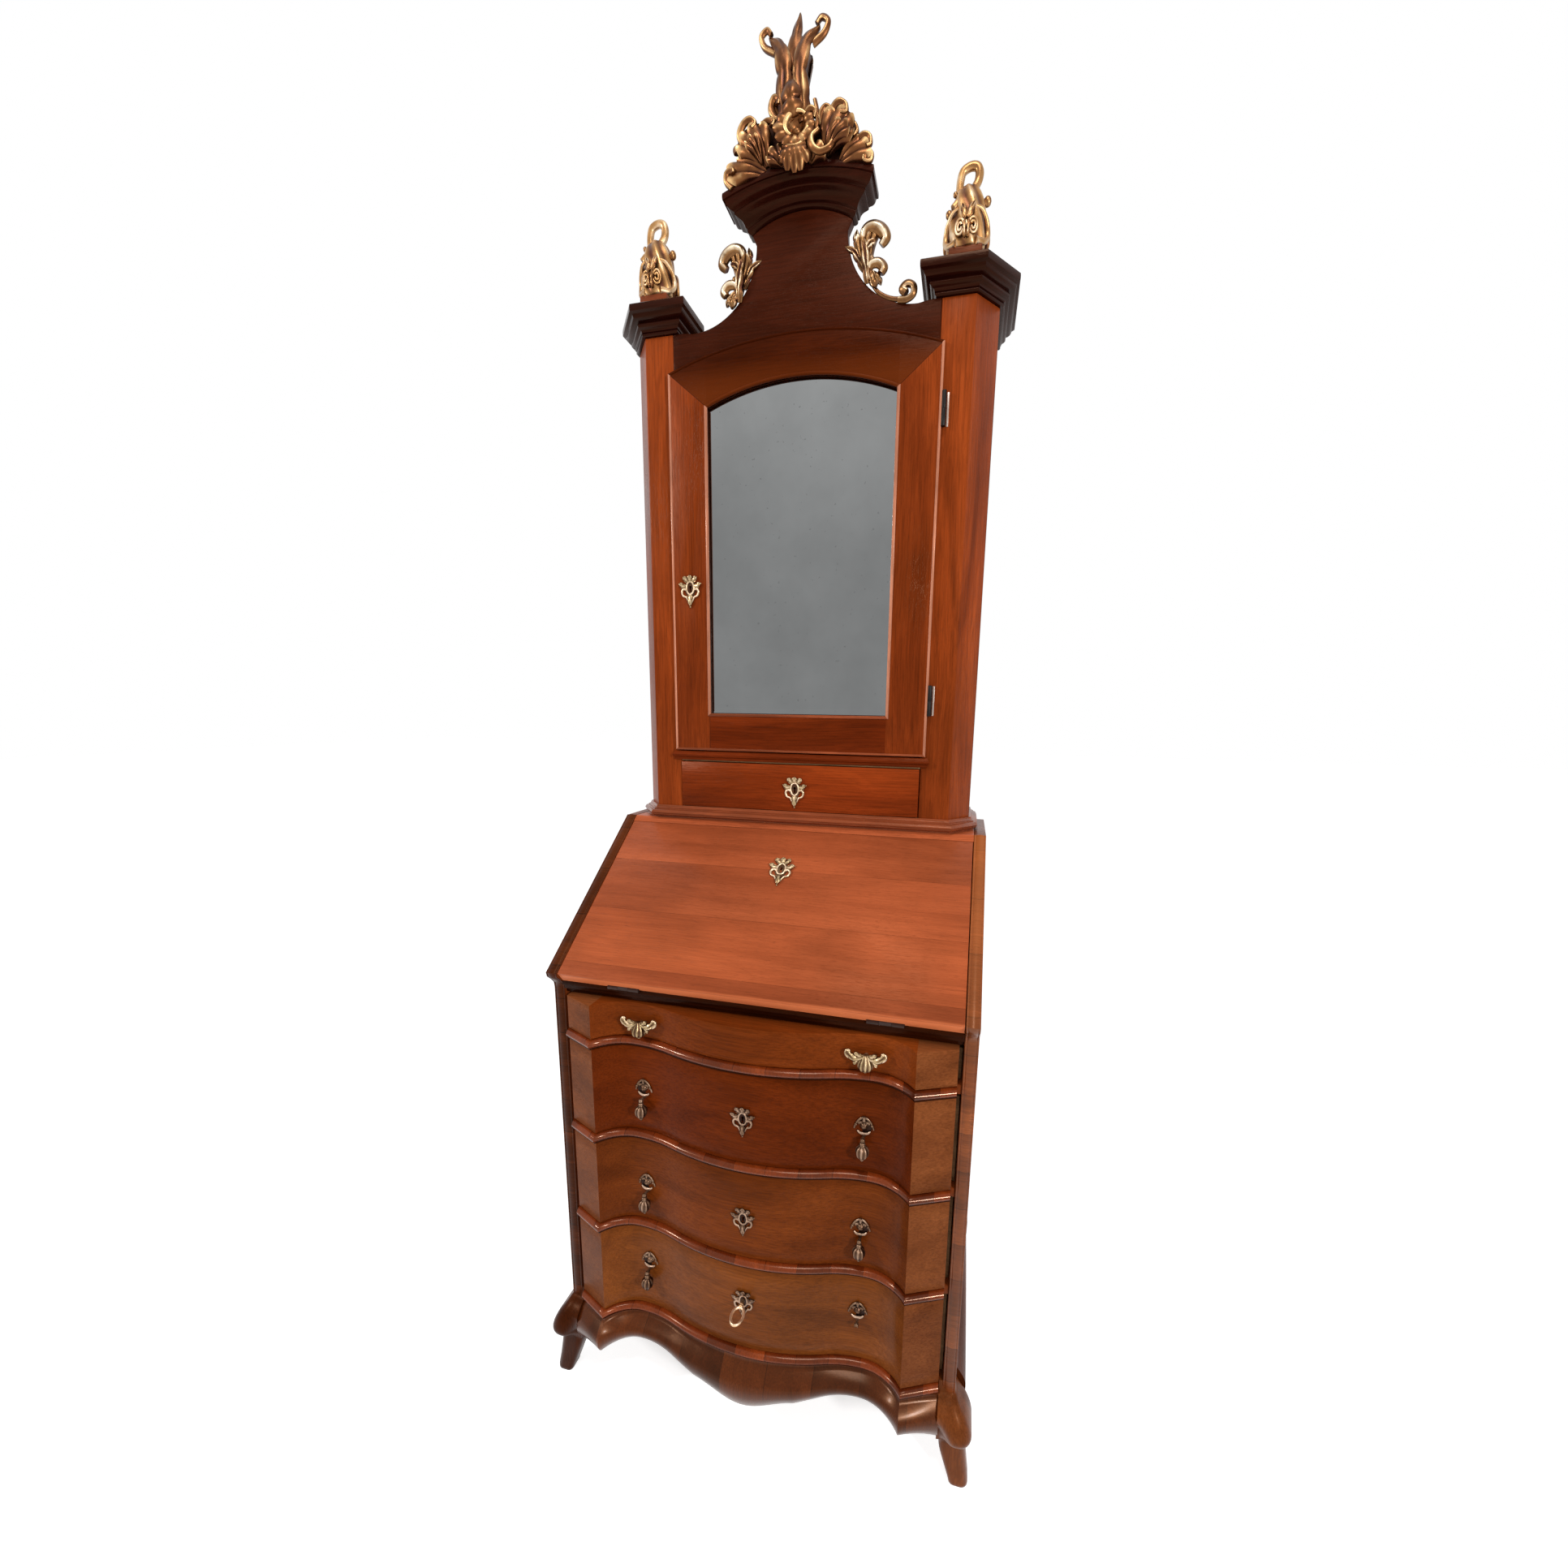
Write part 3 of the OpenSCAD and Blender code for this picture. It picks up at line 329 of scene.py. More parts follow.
def spread(tree, value, low, high, from_low=0.3, from_high=0.7):
    """Lays the range of a value, by default that of a noise, over the range from low to high."""
    return add(tree, "MapRange", {"Value": value, "From Min": from_low, "From Max": from_high, "To Min": low,
                                  "To Max": high}).outputs[0]


def noise(tree, vector, scale, detail=2.0, rough=0.5, twist=0.0):
    return add(tree, "TexNoise", {"Vector": vector, "Scale": scale, "Detail": detail,
                                  "Roughness": rough, "Distortion": twist}).outputs["Fac"]


def stretched(tree, vector, along, across, shift=(0, 0, 0), turn=(0, 0, 0)):
    return add(tree, "Mapping", {"Vector": vector, "Location": shift, "Rotation": turn,
                                 "Scale": (along, across, across)}).outputs["Vector"]


def raised(tree, height, strength, distance):
    return add(tree, "Bump", {"Height": height, "Strength": strength, "Distance": distance}).outputs[0]


def new_material(name):
    mat = bpy.data.materials.new(name)
    mat.use_nodes = True
    tree = mat.node_tree
    tree.nodes.clear()
    shader = add(tree, "BsdfPrincipled")
    add(tree, "OutputMaterial", {"Surface": shader.outputs[0]})
    place = add(tree, "TexCoord").outputs["Object"]
    return mat, tree, shader, place


def set_up(tree, shader, **values):
    """Sets or links the shader's inputs, each named with _ for a space."""
    for key, value in values.items():
        socket = shader.inputs[key.replace("_", " ")]
        if isinstance(value, bpy.types.NodeSocket):
            tree.links.new(value, socket)
        else:
            socket.default_value = value


def shade(tone, by, warm=0.0):
    """A tone made lighter or darker; warm takes green and blue away."""
    r, g, b = tone
    return (min(1, r * by), min(1, g * by * (1 - warm)), min(1, b * by * (1 - 1.5 * warm)))


GRAIN = {"X": (0, 0, 0), "Y": (0, 0, math.pi / 2), "Z": (0, math.pi / 2, 0)}
POLISH_TINT = (1.0, 0.5, 0.26, 1)


def wood(name, tone, grain="X", seed=0.0, gloss=0.2, figure=1.0, contrast=1.0, blocks=None, joint=0.02,
         tilt=0.0, shine=0.08, lines=1.0, patchwork=1.0, worn=None, grit=1.0, varnish=0.0, fibrous=1.0):
    """Polished walnut: flowing figure, growth lines, fine fibre and pores, uneven polish.
    blocks = (axis, length in metres) cuts the surface into separately toned pieces of veneer, which differ as
    much as patchwork says. worn = (height where the wood is made pale, height where that
    ends), in metres: rubbing wear and painted light on the lid's front edge, painted light elsewhere."""
    mat, tree, shader, place = new_material(name)

    def mult(a, b):
        return maths(tree, "MULTIPLY", a, b)

    def over(below, factor, above):
        return blend_colour(tree, factor, below, above)

    def times(below, tones):
        return blend_colour(tree, 1.0, below, tones, "MULTIPLY")

    lay = add(tree, "Mapping", {"Vector": place, "Rotation": (tilt, 0, 0)}).outputs["Vector"] if tilt else place
    if blocks:
        axis, step = blocks
        parts = add(tree, "SeparateXYZ", {"Vector": lay}).outputs
        count = maths(tree, "DIVIDE", parts["XYZ".index(axis)], step)
        count = maths(tree, "ADD", count, seed + 0.37)
        cell = maths(tree, "FLOOR", count)
        tone_shift = add(tree, "TexWhiteNoise", {"W": cell}, noise_dimensions="1D").outputs["Value"]
        inside = maths(tree, "FRACT", count)
        seam = maths(tree, "LESS_THAN", inside, joint)
        hop = mult(tone_shift, 7.0)
        jump = add(tree, "CombineXYZ", {"X": hop, "Y": hop, "Z": hop}).outputs[0]
        lay = vectors(tree, "ADD", lay, jump)
    lay = stretched(tree, lay, 1, 1, (seed * 1.7, seed * 0.9, seed * 2.3), GRAIN[grain])
    sway = add(tree, "TexNoise", {"Vector": lay, "Scale": 2.6, "Detail": 1.5}).outputs["Color"]
    sway = vectors(tree, "SUBTRACT", sway, (0.5, 0.5, 0.5))
    sway = vectors(tree, "SCALE", sway, 0.035 * figure)
    lay = vectors(tree, "ADD", lay, sway)
    broad = noise(tree, stretched(tree, lay, 1.3, 11), 1.6, 4, 0.55, 0.5)
    growth = maths(tree, "SINE", mult(broad, 85.0))
    growth = maths(tree, "MULTIPLY_ADD", growth, 0.5, 0.5)
    fibre = noise(tree, stretched(tree, lay, 9, 420), 1, 3, 0.6)
    pores = noise(tree, stretched(tree, lay, 60, 1300), 1, 1, 0.5)
    patch = noise(tree, lay, 3.1, 3, 0.55)
    base = ramp(tree, broad, (0.5 - 0.19 / contrast, shade(tone, 0.52, 0.06)), (0.46, shade(tone, 0.9, 0.02)),
                (0.54, tone), (0.5 + 0.21 / contrast, shade(tone, 1.45, -0.06)))
    base = over(base, mult(growth, 0.2 * contrast * lines), shade(tone, 0.45, 0.1))
    base = times(base, ramp(tree, fibre, (0.32, 1 - 0.26 * fibrous), (0.6, 1 + 0.08 * fibrous)))
    speck = ramp(tree, pores, (0.6, 0.0), (0.68, 1.0))
    base = over(base, mult(speck, 0.3), shade(tone, 0.28, 0.1))
    base = times(base, ramp(tree, patch, (0.3, 0.72), (0.7, 1.14)))
    if blocks:
        dark, plain, pale, dull = ([1 + by * patchwork for by in change] for change in (
            (-0.55, -0.58, -0.55), (0, 0, 0), (0.25, 0.32, 0.3), (-0.4, -0.42, -0.4)))
        base = times(base, ramp(tree, tone_shift, (0, dark), (0.45, [0.97 * grey for grey in plain]), (0.8, pale),
                                (1, dull)))
        base = over(base, mult(seam, 0.75), shade(tone, 0.16, 0.1))
    # Paler band by height: painted light, and on the lid's front edge rubbing wear as well
    if worn:
        up = add(tree, "SeparateXYZ", {"Vector": place}).outputs["Z"]
        up = maths(tree, "MULTIPLY_ADD", patch, 0.01, up)
        base = over(base, spread(tree, up, 0.75, 0, *worn), shade(tone, 2.3, -0.25))
    polish = spread(tree, patch, gloss - 0.06, gloss + 0.1)
    polish = maths(tree, "MULTIPLY_ADD", fibre, 0.06, polish)
    height = maths(tree, "MULTIPLY_ADD", fibre, 0.5, mult(patch, 2.0))
    height = maths(tree, "SUBTRACT", height, mult(speck, 0.4))
    set_up(tree, shader, Base_Color=base, Roughness=polish, Specular_IOR_Level=shine, Specular_Tint=POLISH_TINT,
           Coat_Weight=varnish, Coat_Roughness=0.14, Normal=raised(tree, height, 0.28 * grit, 0.0012))
    return mat


def metal(name, tone, dark, light, gloss=0.32, wear=0.4, metallic=0.9):
    """Old metal or gold leaf: dark in the hollows of the relief, as patina and painted shade, pale on its ridges,
    as rubbing and painted highlight.
    """
    mat, tree, shader, place = new_material(name)
    depth = add(tree, "Attribute", attribute_name="relief").outputs["Fac"]
    rub = noise(tree, place, 90, 4, 0.6)
    stain = noise(tree, place, 26, 3, 0.6)
    level = maths(tree, "ADD", maths(tree, "MULTIPLY", depth, 0.78),
                  maths(tree, "MULTIPLY_ADD", stain, 0.9, -0.34))
    # The dark stop is patina and painted shade in the hollows, the last stop a painted highlight on the ridges
    base = ramp(tree, level, (0.14, dark), (0.36, shade(tone, 0.5, 0.15)), (0.62, tone), (0.94, light))
    spots = maths(tree, "MULTIPLY", ramp(tree, rub, (0.56, 0.0), (0.72, 1.0)), wear)
    set_up(tree, shader, Base_Color=blend_colour(tree, spots, base, dark), Metallic=metallic,
           Roughness=spread(tree, stain, gloss - 0.08, gloss + 0.14), Normal=raised(tree, rub, 0.25, 0.0006))
    return mat


def mirror_glass():
    """Old silvered plate: soft grey, with a painted reflection that makes it paler towards its head, faint cloudy
    tarnish and small specks.
    """
    tone = tuple(colours().silver)
    mat, tree, shader, place = new_material("mirror_silver")
    cloud = noise(tree, place, 5, 4, 0.6)
    specks = ramp(tree, noise(tree, place, 150, 2, 0.5), (0.7, 0.0), (0.74, 1.0))
    base = ramp(tree, cloud, (0.3, shade(tone, 0.9)), (0.7, shade(tone, 1.12)))
    # Painted reflection: the silver is made paler towards the mirror's head
    up = add(tree, "SeparateXYZ", {"Vector": place}).outputs["Z"]
    painted_reflection_by_height = ramp(tree, maths(tree, "MULTIPLY", up, 0.5), (0.6, 0.95), (0.8, 1.0), (1.0, 1.45))
    base = blend_colour(tree, 1.0, base, painted_reflection_by_height, "MULTIPLY")
    base = blend_colour(tree, maths(tree, "MULTIPLY", specks, 0.35), base, shade(tone, 0.4))
    set_up(tree, shader, Base_Color=base, Metallic=1, Roughness=spread(tree, cloud, 0.03, 0.1))
    return mat


finishes = {}


def make_finishes():
    c = colours()
    across, upright = (("X", 0.9 * sizes().band_block), ("Z", 1.1 * sizes().band_block))

    def walnut(key, name, tone, by, warm, grain, seed, *rest, **more):
        wood_tone = getattr(c, tone + "_wood") if isinstance(tone, str) else tone
        finishes[key] = wood(name, shade(wood_tone, by, warm), grain, seed, *rest, **more)

    def gilded(key, name, tone, by, warm, *rest):
        metal_tone = getattr(c, tone) if isinstance(tone, str) else tone
        finishes[key] = metal(name, shade(metal_tone, by, warm), *rest)

    # The lid's front edge is made pale below its nose: rubbing wear together with painted light on a face that
    # turns down
    walnut("lid", "walnut_lid", "lid", 1, 0, "X", 1.3, 0.26, 0.7, 0.4, ("Y", 0.118), 0.004, tilt=-LID_SLOPE,
           lines=0.35, patchwork=0.5, worn=(0.8595, 0.8655), fibrous=0.45)
    walnut("desk", "walnut_desk", "lid", 1.15, 0, "X", 4.3, 0.3, 1.0, 0.6, lines=0.5)
    # Each drawer front has its own tone; the low drawer's lighter tone is painted light
    for key, by, warm, seed, shine in (("high", 0.78, 0.22, 2.1, 0.04), ("mid", 0.98, -0.05, 22.7, 0.05),
                                       ("low", 1.2, -0.3, 25.2, 0.08), ("slim", 1.2, 0.05, 28.4, 0.05)):
        walnut(key + "_front", f"walnut_{key}_drawer", "drawer", by, warm, "X", seed, 0.13, 1.1, 0.7, shine=shine)
    # The writing bed and the quirks under the rail beads are darkened as painted shade
    walnut("bed", "walnut_bed_painted_shade", "case", 0.15, 0.1, "X", 21.4, 0.2, 1.0, 0.8, shine=0.05)
    walnut("case", "walnut_case", "case", 1, 0, "Z", 3.7, 0.26)
    walnut("post", "walnut_posts", "cabinet", 1.3, -0.08, "Z", 5.2, 0.26, 0.8, 0.9)
    walnut("stile", "walnut_stiles", "cabinet", 0.98, -0.03, "Z", 6.4, 0.2, 0.8, 0.8)
    walnut("rail", "walnut_door_rails", "cabinet", 0.7, 0.15, "X", 7.9, 0.2, 0.8, 0.8)
    # The door's head is darker than the rest of the frame and paler towards its foot: painted shade and painted
    # light
    walnut("head", "walnut_door_head_painted_shade", "cabinet", 0.27, 0.05, "X", 7.9, 0.22, 0.8, 0.8, shine=0.04,
           worn=((SIGHT_TOP + 26) / 1000, (SIGHT_TOP + 74) / 1000))
    # Pale lips: the paleness is a painted highlight
    walnut("lip", "lips_painted_highlight", (0.52, 0.2, 0.115), 1, 0, "Z", 9.4, 0.2, 0.8, 0.7, shine=0.3, grit=0.3,
           varnish=0.12)
    # Canted panels get a paler, nearly unpolished walnut: the paleness is a painted sheen
    walnut("cant", "walnut_cants_painted_sheen", (0.19, 0.054, 0.0155), 1, 0, "X", 26.3, 0.2, 1.1, 0.7, shine=0.03)
    # The left edging is darker than the right as painted shade, and paler towards its top as painted light
    walnut("left_edging_painted_shade", "left_side_edging_painted_shade", "case", 0.38, 0, "X", 34.9, 0.2, 0.9, 1.0, upright, shine=0.12,
           patchwork=0.95, worn=(1.5, 0.9), grit=0.3)
    walnut("cabinet_drawer", "walnut_cabinet_drawer", "cabinet", 1.05, 0.1, "X", 8.8, 0.26, 0.8, 0.7)
    walnut("moulding", "walnut_mouldings", "lid", 0.6, 0, "X", 9.1, 0.2, 0.8, 0.9, shine=0.24, grit=0.4,
           varnish=0.08)
    walnut("pediment", "walnut_pediment", "pediment", 1, 0, "X", 10.3, 0.26, 0.9, 0.8)
    walnut("dark", "dark_cap_wood", "dark", 1.05, 0, "X", 11.7, 0.17, 0.8, 0.9, shine=0.14, grit=0.5)
    walnut("banding", "cross_banding", "case", 0.86, 0.22, "Z", 12.9, 0.13, 0.9, 0.9, across, shine=0.32,
           patchwork=0.8, grit=0.15, varnish=0.18)
    walnut("apron", "apron_banding", "case", 0.4, 0, "Z", 13.1, 0.2, 1.0, 1.0,
           ("X", 1.35 * sizes().band_block), 0.015, shine=0.28, patchwork=0.95, grit=0.3, varnish=0.06)
    # The right edging is made paler towards its top as painted light
    walnut("edging", "side_edging", "case", 1.0, -0.12, "X", 14.9, 0.2, 0.9, 1.0, upright, shine=0.4,
           patchwork=0.85, worn=(1.3, 0.75), grit=0.3, varnish=0.08)
    # Side aprons darkened as painted shade
    walnut("side_apron", "walnut_side_aprons_painted_shade", "case", 0.45, 0, "Y", 15.9)
    walnut("foot", "walnut_right_feet", "case", 0.95, -0.3, "Z", 15.3, 0.25, 1.0, 1.1, shine=0.14, grit=0.6)
    # The left feet take a darker copy of the feet's walnut as painted shade
    walnut("left_foot_painted_shade", "walnut_left_feet_painted_shade", "case", 0.3, 0, "Z", 31.3, 0.25, 1.0, 1.1, grit=0.6)
    walnut("lining", "lining_boards", "lining", 1, 0, "X", 16.2, 0.55, 1.0, 0.8, shine=0.3)
    walnut("back", "back_boards_wood", "lining", 0.62, 0, "Z", 17.4, 0.6, 1.0, 0.9, ("X", 0.178), 0.012,
           shine=0.25)
    walnut("bole", "finial_plinths", (0.16, 0.035, 0.012), 1, 0, "X", 19.2, 0.3, shine=0.15)
    # For each metal the two colours after the tone are the hollows' dark, patina and painted shade, and the
    # ridges' painted highlight
    gilded("gilt", "gold_leaf", "gilding", 1, 0, (0.1, 0.03, 0.014), (0.84, 0.7, 0.5), 0.34, 0.3, 0.85)
    gilded("crest_gilt", "crest_gold_leaf", "gilding", 0.42, 0.28, (0.03, 0.007, 0.003), (0.66, 0.41, 0.18),
           0.32, 0.4, 0.85)
    gilded("scroll_gilt", "scroll_gold_leaf", "gilding", 0.62, 0.05, (0.05, 0.012, 0.006), (0.84, 0.7, 0.5),
           0.32, 0.5, 0.85)
    gilded("pale", "pale_gilding_metal", "pale_gilding", 0.8, 0, (0.07, 0.03, 0.015), (0.72, 0.54, 0.38),
           0.32, 0.3)
    gilded("brass", "old_brass_metal", "old_brass", 1, 0, (0.02, 0.008, 0.005), (0.46, 0.31, 0.22), 0.34)
    gilded("bright_brass", "key_brass_metal", (0.62, 0.38, 0.2), 1, 0, (0.16, 0.07, 0.03), (0.95, 0.72, 0.5),
           0.3, 0.3)
    # Pale hinge leaves: the paleness is a painted highlight
    gilded("hinge_plate", "hinge_leaf_metal_painted_highlight", (0.5, 0.4, 0.34), 1, 0, (0.42, 0.33, 0.28), (0.7, 0.6, 0.52),
           0.3, 0.0, 0.8)
    # Lid hinges in a dark brown, patina and painted shade, that sinks into the shade under the lid
    gilded("hinge_iron", "lid_hinge_patina_and_painted_shade", (0.05, 0.02, 0.01), 1, 0, (0.024, 0.008, 0.004), (0.08, 0.04, 0.02),
           0.6, 0.2, 0.3)
    gilded("iron", "iron_metal", "iron", 1, 0, (0.012, 0.01, 0.009), (0.12, 0.11, 0.1), 0.45, 0.4, 0.85)
    finishes["mirror"] = mirror_glass()


# --- Lines and mouldings ---

def bow(a, b, bulge, steps=6):
    """Points after a and up to b on a line that swells sideways, outwards where bulge is positive."""
    run = math.hypot(b[0] - a[0], b[1] - a[1])
    out = ((b[1] - a[1]) / run, -(b[0] - a[0]) / run)
    points = []
    for k in range(1, steps + 1):
        t = k / steps
        s = 4 * bulge * t * (1 - t)
        points.append((a[0] + (b[0] - a[0]) * t + out[0] * s, a[1] + (b[1] - a[1]) * t + out[1] * s))
    return points


def moulded(start, *moves):
    """A moulding's profile: points (how far out, height); a move with a third number swells by that much."""
    points = [start]
    for out, height, *bulge in moves:
        points += bow(points[-1], (out, height), *bulge) if bulge else [(out, height)]
    return points


def spline(a, b, c, d, t):
    """A point between b and c on a smooth curve through all four, for vectors or single numbers."""
    return 0.5 * (2 * b + (c - a) * t + (2 * a - 5 * b + 4 * c - d) * t * t + (3 * b - a - 3 * c + d) * t ** 3)


def through(points, steps):
    """Evenly numbered points on a smooth line through the points given."""
    pts = [Vector(p) for p in points]
    pts = [pts[0] * 2 - pts[1]] + pts + [pts[-1] * 2 - pts[-2]]
    spans = len(pts) - 3
    line = []
    for k in range(steps + 1):
        s = min(k / steps * spans, spans - 1e-9)
        i = int(s)
        line.append(spline(*pts[i:i + 4], s - i))
    return line


def stations(spine, steps, facing):
    """Stations along a smooth line: the share along it, the point, its front and its side."""
    line = through(spine, steps)
    for i, p in enumerate(line):
        tangent = (line[min(i + 1, steps)] - line[max(i - 1, 0)]).normalized()
        front = Vector(facing)
        front = (front - tangent * front.dot(tangent)).normalized()
        yield i / steps, p, front, tangent.cross(front)


def arch(half, z, rise, steps=32):
    r = (half * half + rise * rise) / (2 * rise)
    return [(x, z + rise - r + math.sqrt(r * r - x * x))
            for x in (-half + 2 * half * i / steps for i in range(steps + 1))]


def oval(rx, rz, lift, step, last=360):
    """Points of an upright oval, from its top, one every step degrees."""
    return [(rx * math.sin(math.radians(a)), rz * math.cos(math.radians(a)) + lift) for a in range(0, last, step)]


def mirrored(right):
    """The same points on the left, in the order that carries an outline on."""
    return [(-x, other) for x, other in reversed(right)]


# The lid's slope
SLOPE_RUN, SLOPE_RISE = 301, 238
LID_SLOPE = math.atan2(SLOPE_RISE, SLOPE_RUN)
LID_T, BED_TOP, LID_LONG = 24, 839, 366

# Serpentine front: a belly, a hollow on each side, a turn out to a peak and a canted panel
FRONT_HALF = cad("low_drawer_front")[1][0]
PANEL_W, TURN_W = 66, 68
PEAK = FRONT_HALF - PANEL_W
HOLLOW = PEAK - TURN_W
BELLY_R, HOLLOW_D, CANT = 450, 35, 30
HOLLOW_R = (HOLLOW ** 2 + HOLLOW_D ** 2) / (2 * HOLLOW_D) - BELLY_R
TURN_R = (TURN_W ** 2 + HOLLOW_D ** 2) / (2 * HOLLOW_D)
JOIN = HOLLOW * BELLY_R / (BELLY_R + HOLLOW_R)
FACE_Y = -12


def dip(r, x):
    """How far a circle of radius r falls away at x from its top."""
    return r - math.sqrt(max(r * r - x * x, 0))


def wave(x):
    """How far the serpentine front lies behind its belly."""
    u = abs(x)
    if u < JOIN:
        return dip(BELLY_R, u)
    if u < PEAK:
        return HOLLOW_D - dip(HOLLOW_R if u < HOLLOW else TURN_R, u - HOLLOW)
    return CANT * (u - PEAK) / (FRONT_HALF - PEAK)


def front_steps(half=FRONT_HALF - 3.2):
    """Stations across the front, close where it turns and one on each sharp corner."""
    right = [HOLLOW * i / 36 for i in range(1, 37)]
    right += [HOLLOW + TURN_W * math.sin(math.pi / 2 * i / 18) for i in range(1, 19)]
    right += [PEAK + (half - PEAK) * i / 6 for i in range(1, 7)]
    return [-x for x in reversed(right)] + [0] + right


# Drawers from the bottom up, and the brasses on them
DRAWERS = ("low", "mid", "high", "slim")
LEVELS = [cad(n + "_drawer_front") for n in DRAWERS]
FIT_RISE = (16, -4, 3, -5)
FIT_Z = [(low[2] + high[2]) / 2 + rise for (low, high), rise in zip(LEVELS, FIT_RISE)]
PULL_X = HOLLOW - 14
PIN_DROP, DROP_OUT = 19, 14


class Piece:
    bl_options = {"REGISTER", "UNDO"}


# --- Chest ---

class DESK_OT_case_boards(Piece, bpy.types.Operator):
    """Side boards, desk top, writing bed, dust boards and the planked back"""
    bl_idname = "desk.case_boards"
    bl_label = "Case boards"

    def execute(self, context):
        standing_for("side_left side_right", "walnut", "case")
        standing_for("desk_top", "walnut", "desk")
        standing_for("writing_bed", "walnut", "bed")
        standing_for("dust_boards", "lining_wood", "lining")
        (x0, y0, z0), (x1, y1, z1) = cad("back_boards")
        planks, gap = 4, 1
        made = []
        for i in range(planks):
            a = x0 + (x1 - x0) * i / planks + (gap / 2 if i else 0)
            b = x0 + (x1 - x0) * (i + 1) / planks - (gap / 2 if i < planks - 1 else 0)
            made.append(board("plank", a, b, z0, z1, y0, y1))
        settled(eased(joined("back_planks", made)), "case", "lining_wood", "back", "back_boards")
        return {"FINISHED"}


class DESK_OT_side_edges(Piece, bpy.types.Operator):
    """Reeded and cross-banded strips on the front edges of the side boards"""
    bl_idname = "desk.side_edges"
    bl_label = "Side edges"

    def execute(self, context):
        (x0, _, z0), (x1, _, z1) = cad("side_right")
        nose_z, sunk, inset = 857.8, -1.5, 0.25
        points = [(22, z0 - 22), (22, nose_z - 36), (20, nose_z - 26), (12, nose_z - 17), (2, nose_z - 8),
                  (0, nose_z), (SLOPE_RUN, z1)]
        line = [Vector(p) for p in points]
        rise = sizes().reed_rise * 1000
        wide = x1 - x0 - 2 * inset
        section = [(x0 + inset, sunk)]
        for low, high, tall, steps in ((0, 0.16, 0.5, 5), (0.16, 0.86, 1.2, 16), (0.86, 1, 0.4, 4)):
            for k in range(steps + (high == 1)):
                t = k / steps
                section.append((x0 + inset + wide * (low + (high - low) * t),
                                rise * tall * math.sin(math.pi * t) ** 0.7))
        section.append((x1 - inset, sunk))
        strips = []
        for side in (-1, 1):
            rings = []
            for i, (y, z) in enumerate(points):
                before = line[i] - line[i - 1] if i else line[1] - line[0]
                after = line[i + 1] - line[i] if i < len(line) - 1 else before
                turn = (before.normalized() + after.normalized()).normalized()
                wider = 1 / max(turn.dot(after.normalized()), 0.5)
                rings.append([(side * x, y - turn[1] * up * wider, z + turn[0] * up * wider) for x, up in section])
            strips.append(lofted("edge_strip", rings))
        edgings = joined("side_edgings", strips)
        # The left strip takes a darker finish than the right as painted shade
        painted(edgings, ("edging", "left_edging_painted_shade"), lambda x, z: 1 if x < 0 else 0)
        settled(edgings, "case", "walnut", None, angle=50)
        return {"FINISHED"}


class DESK_OT_rails(Piece, bpy.types.Operator):
    """Drawer rails with half-round cross-banded fronts that follow the serpentine, over a quirk painted dark as
    shade
    """
    bl_idname = "desk.rails"
    bl_label = "Drawer rails"

    def execute(self, context):
        (_, y0, z0), (x1, y1, _) = cad("drawer_rails")
        tall, quirk, gap, joint_y, bead_back = 16, 3, 1.2, 24, 30
        floors = [z0] + [low[2] - gap - tall for low, _ in LEVELS[1:]]
        profile = moulded((-3, 0.2), (0.6, 0.4), (0.6, quirk), (0.9, tall - 0.8, 5.6), (-3, tall))
        fronts, backs = [], []
        for i, z in enumerate(floors):
            rings = []
            for x in front_steps():
                y = y0 + 4 + wave(x)
                rings.append([(x, y - p * 0.9, z + h) for p, h in profile]
                             + [(x, bead_back, z + h) for h in (tall - 0.2, 0.2)])
            fronts.append(lofted("bead", rings))
            half = x1 if i else FRONT_HALF
            backs.append(board("rail", -half, half, z, z + tall, joint_y, y1))
        beads = joined("rail_beads", fronts)
        # The quirk under each bead takes the dark bed finish as painted shade
        painted(beads, ("banding", "bed"), lambda x, z: 1 if any(0.3 < z - low < quirk for low in floors) else 0)
        settled(beads, "case", "walnut", None, angle=50)
        settled(eased(joined("rail_boards", backs)), "case", "walnut", "case", "drawer_rails")
        return {"FINISHED"}


SWELL = 28
RAIL_Z = cad("drawer_rails")[0][2]


def ease_in(t):
    return (1 - math.cos(math.pi * t)) / 2


def apron_z(x):
    """Underside of the front apron: a middle drop, shoulders and arches."""
    drop_z, shoulder_z, arch_z, corner_z, knee_drop = 79, 100, 121, 110, 18
    arch_x = HOLLOW - 10
    shoulder_x = arch_x - 110
    quarter = math.pi / 2
    u = abs(x)
    if u < shoulder_x:
        return drop_z + (shoulder_z - drop_z) * ease_in(u / shoulder_x)
    if u < arch_x:
        return shoulder_z + (arch_z - shoulder_z) * math.sin(quarter * (u - shoulder_x) / (arch_x - shoulder_x))
    if u < PEAK:
        return corner_z + (arch_z - corner_z) * math.cos(quarter * (u - arch_x) / (PEAK - arch_x))
    return corner_z - knee_drop * ((u - PEAK) / (FRONT_HALF - PEAK)) ** 2


def swell_at(t):
    """How far the base swells out: a cove under its top edge, widest below its middle, then back in."""
    cove, widest, turn_in = 0.13, 0.55, 0.6
    if t < cove:
        return 1.5 + 1.5 * (t / cove) ** 3
    out = SWELL * (0.16 + 0.84 * math.sin(min(1, (t - cove) / (widest - cove)) * math.pi / 2))
    return out * (math.cos(math.radians((t - turn_in) * 130)) if t > turn_in else 1)


